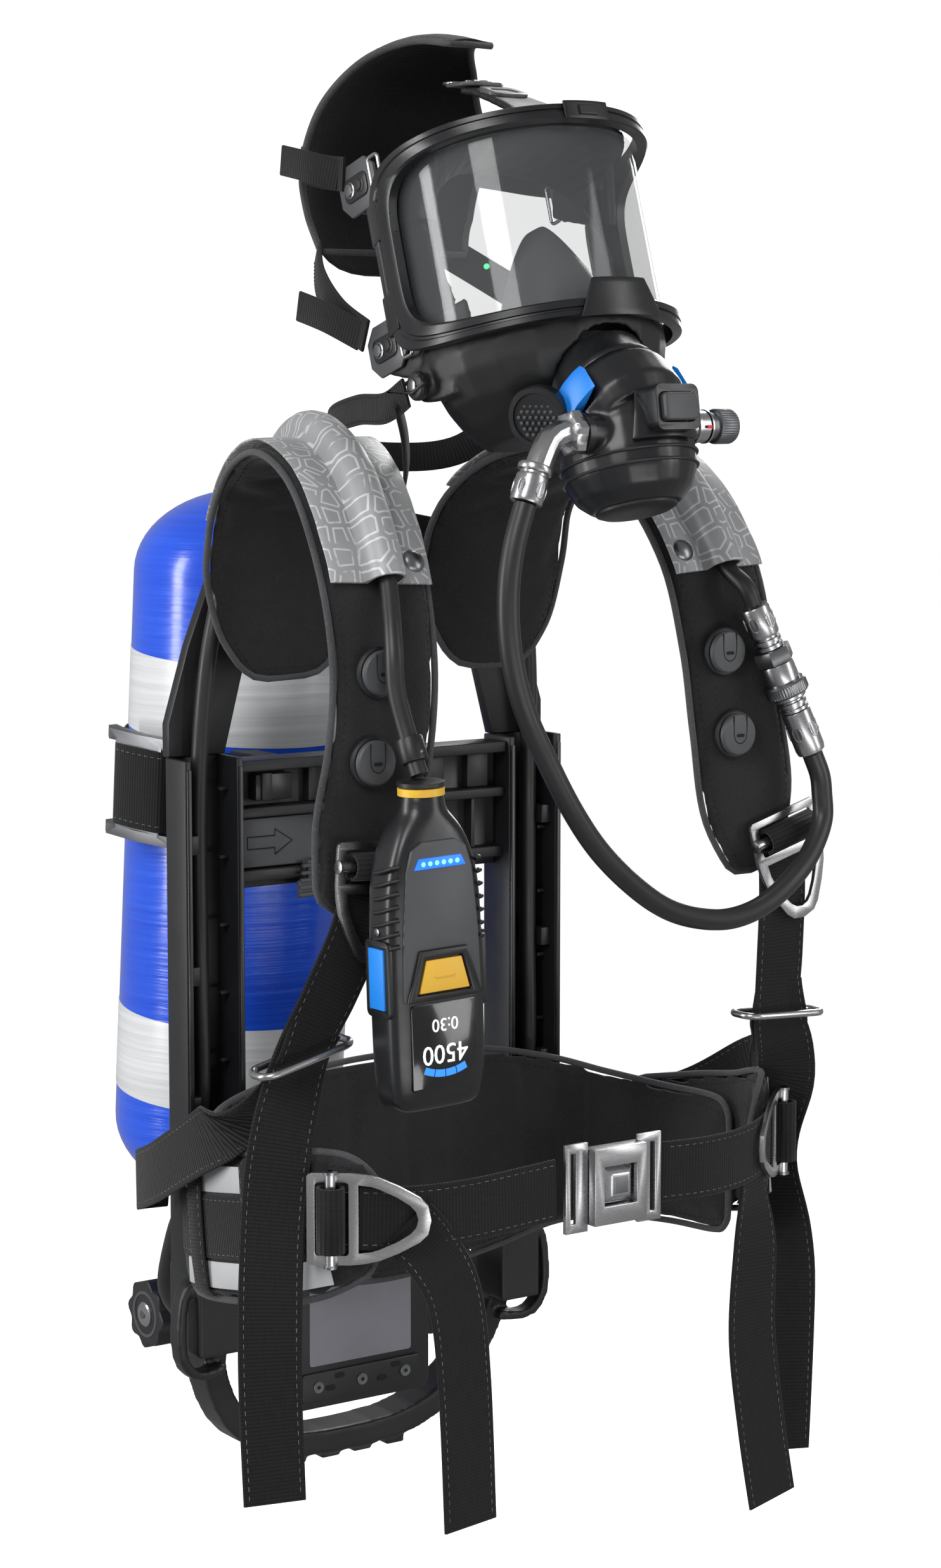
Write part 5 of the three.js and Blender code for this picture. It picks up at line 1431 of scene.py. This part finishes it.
# ---------------------------------------------------------------- coupling details
C_TOP = Vector((144, -232, 370))
C_AXIS = (Vector((185, -244.5, 271.5)) - C_TOP).normalized()
lathe("coupling_upper", [(6.4, -1), (9.4, -0.6), (9.9, 0.6), (9.9, 19), (9.2, 20.6), (7.6, 21), (7.6, 22.4),
                         (9.4, 22.8), (9.4, 25), (7.6, 25.4), (7.6, 26.6), (9.4, 27), (9.4, 29.4), (8, 29.8)],
      C_TOP, C_AXIS, steel, "hose_coupling", 48, replaces="hose_coupling")
lathe("coupling_hex", [(8, 29.6), (11.2, 30.2), (11.6, 31), (11.6, 39.4), (11.2, 40.2), (8, 40.6)], C_TOP,
      C_AXIS, dark_steel_and_shade, "hose_coupling", 60, radial=hexed((1, 2, 3, 4)))
lathe("coupling_socket", [(8, 40.4), (10.9, 40.8), (11.3, 41.6), (11.3, 52.6), (11.2, 53.6), (11.2, 64.6),
                          (11.2, 66), (10.4, 66.8), (8.4, 67), (8.4, 68.4), (9.8, 68.8), (9.8, 71),
                          (8.4, 71.4), (8.4, 72.8), (9.8, 73.2), (9.8, 75), (8, 75.4)], C_TOP, C_AXIS, steel,
      "hose_coupling", 48)
lathe("coupling_lower", [(8, 75.2), (9.6, 76), (10, 77), (10, 103), (9.3, 106), (7.4, 107)], C_TOP, C_AXIS,
      steel, "hose_coupling", 48)
oval_flats("coupling_upper", C_TOP + C_AXIS * 10, C_AXIS, 9.8, 5, "hose_coupling")
oval_flats("coupling_lower", C_TOP + C_AXIS * 90, C_AXIS, 9.9, 5, "hose_coupling")
lathe("coupling_sleeve_knurled", [(11.5, 54.2), (13.4, 54.3), (14.6, 55.6), (14.7, 56.4), (14.7, 61.6),
                                  (14.6, 62.4), (13.4, 63.7), (11.5, 63.8), (11.5, 54.2)], C_TOP, C_AXIS,
      dark_steel_and_shade, "coupling_sleeve", 180, replaces="coupling_sleeve", radial=knurled((3, 4)))

# ---------------------------------------------------------------- hose clips
CLIPS = {"left": ((148, 341), (155, 286)), "right": ((126, 341), (133, 286))}
for name, side in SIDES:
    for i, (x, z) in enumerate(CLIPS[name]):
        node = f"hose_clip_{name}_{i + 1}"
        y = (-221.5, -224.5)[i]
        at = (side * x, y, z)
        lathe(node + "_base", [(10, 0), (15.4, 0), (16.2, 1), (16.2, 2.6), (15, 3.6), (10, 3.8)], at,
              (0, -1, 0), black_plastic, node, 56, replaces=node)
        lathe(node + "_disc", [(6, 3.4), (13.4, 3.6), (14.2, 4.4), (14, 6.4), (13, 7.4), (9, 7.8), (2, 8)],
              at, (0, -1, 0), grey_plastic, node, 56)
        m = basis((side * x, y - 7.5, z), (1, 0, 0), (0, 0, 1))
        half = [(-5.4, 12.4), (-5.4, 2), (-4.6, -2.8), (-2.2, -5.4)]
        flap = half + [(0, -6)] + [(-a, b) for a, b in half[::-1]]
        tube(node + "_flap", centripetal([m @ (Vector((a, b, 0.15)) * MM) for a, b in flap], 4), 0.0005,
             dark_thread_and_shade, node, 6)
        # painted shade: a near-black patch stands for the shade inside the keyhole
        slab(node + "_keyhole", rounded(3.2, 1.1, 1.0, 3, 0, -0.6), 0.2, 0.75, m, dark_thread_and_shade, node, 0)
held = centripetal([Vector(p) * MM for p in CONSOLE_HOSE_END], 8)
near = min(range(len(held)), key=lambda i: abs(held[i].z - 0.296))
lathe("hose_clip_left_ring", [(6.1, -8), (8.4, -7.6), (8.8, -6.6), (8.8, 6.6), (8.4, 7.6), (6.1, 8)],
      held[near] / MM, held[near + 1] - held[near - 1], black_plastic, "hose_clip_left_2", 32)
lathe("hose_clip_left_pin", [(1.4, 0), (1.4, 1.0), (0.8, 1.3)], held[near] / MM + Vector((1, -8.4, 0)),
      (0.1, -1, 0), dark_steel_and_shade, "hose_clip_left_2", 12)

# ---------------------------------------------------------------- snaps on the covers
for name, side in SIDES:
    path = Path.through(pad_stations(side), 60, 7 / 26, 17 / 26)
    p, a, o, w, _ = path.at(path.length - 0.015)
    seat = (p - a * side * (w / 2 - 14 * MM) - o * 9.4 * MM) / MM
    lathe(f"shoulder_snap_{name}", [(7.6, -0.6), (7.6, 0.5), (6.6, 1.8), (4.4, 3.0), (1.6, 3.6)], seat, -o,
          dark_steel_and_shade, f"shoulder_cover_{name}", 32)

# ---------------------------------------------------------------- band buckle details
BUCKLE_TURN = Matrix.Rotation(math.radians(15), 3, "Z")


def on_buckle(x, y, z):
    return on_cylinder(*(BUCKLE_TURN @ Vector((x, y, z)))) * MM


def webbing_pack():
    """The band's spare length, folded over the lever."""
    ring = [(-99.6, -25), (-104, -26.4), (-109, -25.6), (-111.4, -22), (-112.6, -10), (-113, 0), (-112.6, 10),
            (-111.2, 20), (-108.8, 23.8), (-104, 24.6), (-99.6, 23.2)]
    verts, uv = [], []
    run = [0.0]
    for (x0, y0), (x1, y1) in zip(ring, ring[1:]):
        run.append(run[-1] + math.hypot(x1 - x0, y1 - y0))
    for z in (29.5 + 59 * i / 16 for i in range(17)):
        for (x, y), r in zip(ring, run):
            verts.append(on_buckle(x, y, z))
            uv.append((r * MM, z * MM))
    build("band_webbing_pack", verts, quads(17, len(ring), flip=True), strap_cloth, "band_lever", uv, 50)
    for k, z in enumerate((34, 84)):
        line = [on_buckle(x - 0.3, y, z) for x, y in ring[2:9]]
        out = (on_buckle(-120, 0, z) - on_buckle(-100, 0, z)).normalized()
        dashes(f"band_pack_stitch_{k}", line, [out] * len(line), thread, "band_lever", pitch=6, length=3.6,
               wide=0.6, high=0.25)


webbing_pack()


# ---------------------------------------------------------------- hip pad, rail, crossbar and module details
def shifted(path, start, end, across, out, width, steps=40):
    """A strip's path laid along part of another one, moved across it and off its face, in mm."""
    frames = []
    for i in range(steps + 1):
        p, a, o, _, t = path.at(path.length * (start + (end - start) * i / steps))
        frames.append((p + a * across * MM + o * out * MM, a, o, width * MM, t))
    return Path(frames)


LOOP_ARCH = [(-0.045, 0.0045), (-0.040, 0.0085), (-0.02, 0.0098), (0.0, 0.0100), (0.02, 0.0098),
             (0.040, 0.0085), (0.045, 0.0045)]


for name, side in SIDES:
    node, path = "hip_pad_" + name, hip_paths[name]
    for k, across in enumerate((-31, 31)):
        strip = shifted(path, 0.10, 0.80, across, 6.4, 17)
        lofted(f"{node}_reflector_{k}", strip, strap_section(1.0), light_silver, node)
    channel = shifted(path, 0.06, 0.86, 0, 6.9, 41)
    lofted(f"{node}_channel", channel, strap_section(2.0), strap_cloth, node, slot="webbing")
    strap_stitches(f"{node}_channel_stitch", channel, 3.0, 1, node, pitch=6, length=3.6, wide=0.5, high=0.25)
    for k, share in enumerate((0.22, 0.56)):
        p, a, o, w, t = path.at(path.length * share)
        up = a.cross(t) if a.cross(t).dot(o) > 0 else -a.cross(t)
        loop = Path([(p + a * s + o * h, t, up, 0.022, a) for s, h in LOOP_ARCH])
        lofted(f"{node}_loop_{k}", loop, strap_section(1.8), strap_cloth, node, slot="webbing")
        strap_stitches(f"{node}_loop_stitch_{k}", loop, 2.6, 1, node, pitch=6, length=3.6, wide=0.6,
                       high=0.25)

for name, side in SIDES:
    node = "rail_" + name
    parts = [(f"pin_{k}_{int(x0)}", x0, x1, 12, 15, -40 + 47 * k, 2.4, black_plastic, 0.3)
             for k in range(7) for x0, x1 in ((116.2, 123), (145, 151.8))]
    parts += [(f"catch_{k}", 143.4, 151.8, 5, 19, z, 13, black_plastic, 0.6) for k,
              z in enumerate((20, 110, 200))]
    parts += [(bead, x, x + 3.6, -1.4, 0.2, -84, 343, satin_plastic, 0.5) for bead,
              x in (("bead", 112), ("bead_outer", 152.4))]
    for part, x0, x1, y0, y1, z, high, material, bevel in parts:
        block(f"{node}_{part}", *sorted((side * x0, side * x1)), y0, y1, z, z + high, material, node, bevel)
lathe("rail_hose_ferrule", [(6.2, -34), (8.2, -33.6), (8.6, -32.4), (8.6, -12), (8.2, -10.8), (7.4, -10.4),
                            (7.4, -8), (8.2, -7.6), (8.2, -5), (6.2, -4.6)], (-138, 21, 0), (0, -0.16, 1),
      grey_metal, "rail_left", 32)

block("crossbar_block", -96, -66, 9, 17, 233, 251, satin_plastic, "crossbar", 0.9)
block("crossbar_block_cap", -92, -84, 6.8, 10, 233, 252, black_plastic, "crossbar", 0.7)
for k, (x0, x1) in enumerate(((-52, -44), (-20, 18), (40, 62), (82, 100))):
    block(f"crossbar_rib_{k}", x0, x1, 11, 18.4, 229.5, 253.6, black_plastic, "crossbar", 0.8)
for k, x in enumerate((-24, 12, 48, 84)):
    block(f"crossbar_foot_{k}", x, x + 3, 9, 19, 186.4, 221.6, black_plastic, "crossbar", 0.5)
latch_front = basis((-84, 9, 204), (1, 0, 0), (0, 0, 1))
arrow = [(-19, 4.2), (3, 4.2), (3, 8.8), (17, 0), (3, -8.8), (3, -4.2), (-19, -4.2)]
arrow_line = [latch_front @ (Vector((x, y, 0.1)) * MM) for x, y in arrow]
tube("height_latch_arrow", arrow_line, 0.00055, black_plastic, "height_latch", 6, closed=True)
for k in range(5):
    block(f"height_latch_fin_{k}", -66.5 + 0.8 * k, -50, 0.4, 3.2, 165 + 5 * k, 167.4 + 5 * k, grey_plastic,
          "height_latch", 0.3)

module_front = basis((0, 14, 0), (1, 0, 0), (0, 0, 1))
slab("module_label", rounded(43, 28, 2, 3, -9, -147), -1, 0.5, module_front, module_grey, "control_module",
     0.2)
slab("module_cover", rounded(50, 10.5, 2.5, 3, -9, -190), -1, 1.8, module_front, black_plastic,
     "control_module", 0.7)
for k, x in enumerate((-46, -9, 28)):
    at = module_front @ (Vector((x, -190, 0)) * MM)
    lathe(f"module_screw_{k}", [(4.4, 1.4), (4.4, 2.6), (3.8, 3.0), (2.2, 2.9)], at / MM, (0, -1, 0),
          grey_metal, "control_module", 20)
    # painted shade: a near-black hexagon on each screw head stands for the shade in its socket
    lathe(f"module_screw_socket_{k}", [(1.5, 2.6), (1.5, 3.15), (0.8, 3.2)], at / MM, (0, -1, 0), dark_thread_and_shade,
          "control_module", 6)
# painted shade: near-black patches on the cover stand for the shade inside its slots
for k, x in enumerate((-28, 8, 20, -36)):
    slab(f"module_slot_{k}", rounded(4.2, 2, 1.9, 3, x, -184 - 8 * (k % 2)), 1.7, 2.1, module_front,
         dark_thread_and_shade, "control_module", 0)
lathe("module_cap", [(8, 0), (13, 0.4), (14, 1.4), (14, 3), (12.4, 4), (4, 4.4)], (70, 20, -134), (0, -1, 0),
      black_plastic, "control_module", 40)

wheel_face = on_cylinder(-74.4, -14, -350)
lathe("handwheel_hub", [(6, -1), (9.4, -0.6), (9.4, 0.8), (8.2, 1.8), (3, 2.2)], wheel_face, (-1, 0, 0),
      steel, "handwheel", 36)
lathe("handwheel_ring", [(14.6, -1), (15.2, 0.6), (17.4, 0.6), (18, -1)], wheel_face, (-1, 0, 0),
      grey_plastic, "handwheel", 48)
lathe("handwheel_screw", [(3.4, 1.6), (3.4, 2.8), (2.2, 3.0)], wheel_face, (-1, 0, 0), dark_steel_and_shade,
      "handwheel", 6)

# ---------------------------------------------------------------- mask details
lug_grey = plastic("lug_grey", (0.060, 0.061, 0.064), 0.40, 0.08)
node = "face_piece"
lug_plate = [(-23, -8), (-14, -17), (10, -17), (19, -9), (19, 9), (10, 17), (-14, 17), (-23, 8)]
for name, side in SIDES:
    for level, height in (("upper", 62), ("lower", -46)):
        m = side_basis(MASK_BASIS, side, (side * 82.4, 42, height))
        slab(f"lug_plate_{level}_{name}", lug_plate, 0, 2.6, m, lug_grey, node, 0.8)
        slab(f"lug_bed_{level}_{name}", rounded(13.5, 8, 5, 5, -3, 0), 2.2, 3.8, m, satin_plastic, node, 0.7)
        for k, (x, r) in enumerate(((-9, 4.4), (2.4, 4.0))):
            at = m @ (Vector((x, 0, 0)) * MM)
            stud = [(r + 1, 3.4), (r + 1, 4.2), (r, 4.6), (r - 0.4, 5.6), (r - 2.4, 5.9)]
            lathe(f"lug_stud_{level}_{name}_{k}", stud, at / MM, m.to_3x3().col[2],
                  black_plastic if k else dark_steel_and_shade, node, 24)
        wire = [m @ (Vector((a, b, 2.4)) * MM) for a, b in rounded(5.6, 13, 3, 4, 20, 0)]
        tube(f"lug_wire_{level}_{name}", wire, 0.0013, steel, node, 8, closed=True)
brow = MASK_BASIS @ basis((0, -15, 105), (1, 0, 0), (0, 0.83, 0.55))
slab("brow_eyelet", rounded(15, 11, 7, 6), -1, 3.4, brow, lug_grey, "face_piece", 1.0,
     (rounded(9.6, 5.4, 4.8, 6)[::-1],))
slab("brow_hole", rounded(9.8, 5.6, 4.9, 6), 1.4, 2.3, brow, light_silver, "face_piece", 0)
brow_end = MASK_BASIS @ basis((0, 12, 121), (1, 0, 0), (0, 0.95, 0.3))
slab("brow_plate", [(-17, -8), (-10, -14), (10, -14), (17, -8), (17, 10), (-17, 10)], 0, 2.8, brow_end,
     lug_grey, "face_piece", 0.8)
for k, x in enumerate((-5.4, 5.4)):
    lathe(f"brow_stud_{k}", [(4.6, 2.4), (4.6, 4.0), (3.6, 4.6), (1.4, 4.8)],
          (brow_end @ (Vector((x, -2, 0)) * MM)) / MM, brow_end.to_3x3().col[2], dark_steel_and_shade, "face_piece", 24)
tube("brow_wire", [brow_end @ (Vector((a, b, 3)) * MM) for a, b in rounded(15, 5, 3, 4, 0, 12)], 0.0013,
     steel, "face_piece", 8, closed=True)


def frame_patch(name, half0, half1, h0, h1, r, thick, material, bevel):
    """A curved plate on the visor's frame, from a half turn and height at its foot to those at its top."""
    at = lambda u, v: visor_point((u * 2 - 1) * (half0 + (half1 - half0) * v), h0 + (h1 - h0) * v, r)
    sheet_patch(name, 6, 14, at, thick, material, "visor_frame", bevel)


frame_patch("frame_plate_front", 19, 12, -71, -46, 95.6, 2.4, satin_plastic, 0.9)
frame_patch("frame_clip_top", 10, 10, 57.5, 69.5, 95.2, 2.0, satin_plastic, 0.6)
frame_patch("frame_clip_tab", 4, 4, 60, 66.5, 96.8, 1.6, black_plastic, 0.6)
for name, side in SIDES:
    for k, h in enumerate((-30, 30)):
        step = lambda u, v: visor_point(side * (99 + 13 * u), h + (v * 2 - 1) * 13, 94.6)
        sheet_patch(f"frame_step_{name}_{k}", 6, 6, step, 2.2, satin_plastic, "visor_frame", 0.8)
nose_grey = plastic("nose_grey", (0.085, 0.087, 0.092), 0.32, 0.05)


def nose_peak():
    """The upper part of the nose cup, running up to a rounded peak behind the visor."""
    rings = [(-52, 38.5, 41), (-40, 35.5, 39), (-28, 30, 36), (-16, 23, 31), (-4, 15.5, 25), (5, 9, 19),
             (10, 4, 14), (11.5, 1, 11)]
    verts = []
    n = 40
    for h, a, b in rings:
        for t in (2 * math.pi * k / n for k in range(n)):
            depth = b * math.cos(t) * (0.5 if math.cos(t) < 0 else 1)
            verts.append(in_mask(a * math.sin(t), -24 - depth + (h + 92) * 0.06, h))
    top = tuple((len(rings) - 1) * n + k for k in range(n))
    faces = quads(len(rings), n, caps=False) + [top]
    smoother(build("nose_cup_peak", verts, faces, nose_grey, "nose_cup"), 180)


nose_peak()
green = glowing("green_light", (0.03, 0.9, 0.12), 6.0)
lathe("warning_light", [(1.6, 0), (1.6, 1.2), (0.8, 2.0)], (-51, -200, 591), (-0.2, -1, 0.2), green,
      "nose_cup", 14)
for name, side in SIDES:
    stud = in_mask(side * 89.6, 12, -82)
    out = mask_dir(side, 0, 0)
    lathe(f"neck_stud_{name}", [(8.4, -4), (9.4, -2), (9.4, 0.6), (8.2, 2.2), (5, 3.2), (2, 3.4)], stud / MM,
          out, black_plastic, "face_piece", 36)
    lathe(f"neck_stud_cap_{name}", [(4.2, 2.8), (4.2, 4.2), (2.8, 4.8)], stud / MM, out, dark_steel_and_shade,
          "face_piece", 24)
    down = Vector((side * 93.5, -166, 512)) * MM
    reach = Vector((0, 0.014, 0))
    wire = [stud + out * 0.001 + Vector((0, -0.006, 0.006)), down + reach, down - reach,
            stud + out * 0.001 + Vector((0, -0.010, 0.002))]
    tube(f"neck_loop_{name}", wire, 0.0016, black_plastic, "neck_strap", 8, closed=True)
for name, side in SIDES:
    face_dir = Vector((side * 0.86, -0.48, -0.16)).normalized()
    centre = Vector((side * 57, -262, 497))
    lathe(f"speech_cup_{name}", [(12, -14), (18.4, -13), (19.6, -8), (19.6, -1), (18.6, 0.4), (15.6, 0.6),
                                 (15.2, -0.8), (4, -1)], centre, face_dir, satin_plastic, "face_piece", 48)
    grid = basis(centre - face_dir * 0.9, Vector((0, 0, 1)).cross(face_dir), Vector((0, 0, 1)))
    k = 0
    for row in range(-3, 4):
        for column in range(-3, 4):
            x, y = column * 4.0 + (2.0 if row % 2 else 0), row * 3.5
            if math.hypot(x, y) < 12.6:
                lathe(f"speech_dot_{name}_{k}", [(1.3, 0.2), (1.3, 0.9), (0.7, 1.3)],
                      (grid @ (Vector((x, y, 0)) * MM)) / MM, face_dir, grey_plastic, "face_piece", 6)
                k += 1


# ---------------------------------------------------------------- floor and backdrop
def staged(name, mesh, color, glow):
    """Part of the set: seen by the camera, and kept out of the object's own light."""
    data = bpy.data.meshes.new(name)
    mesh.to_mesh(data)
    mesh.free()
    obj = added(name, data)
    shade = Shade(name + "_paint", color, 0.85)
    shade.paint(shade.ranged(shade.noise(0.8), 0.3, 0.7, 0, 0.4), scaled(color, 0.98))
    shade.surface.inputs["Emission Color"].default_value = (*color, 1)
    shade.surface.inputs["Emission Strength"].default_value = glow
    data.materials.append(shade.material)
    obj.visible_diffuse = obj.visible_glossy = obj.visible_shadow = False


floor = bmesh.new()
bmesh.ops.create_circle(floor, cap_ends=True, segments=96, radius=30, matrix=Matrix.Translation((0, 0, -0.9)))
staged("floor", floor, (0.86, 0.86, 0.86), 0.85)
backdrop = bmesh.new()
bmesh.ops.create_uvsphere(backdrop, u_segments=64, v_segments=32, radius=29)
staged("backdrop", backdrop, (0.86, 0.86, 0.86), 1.0)
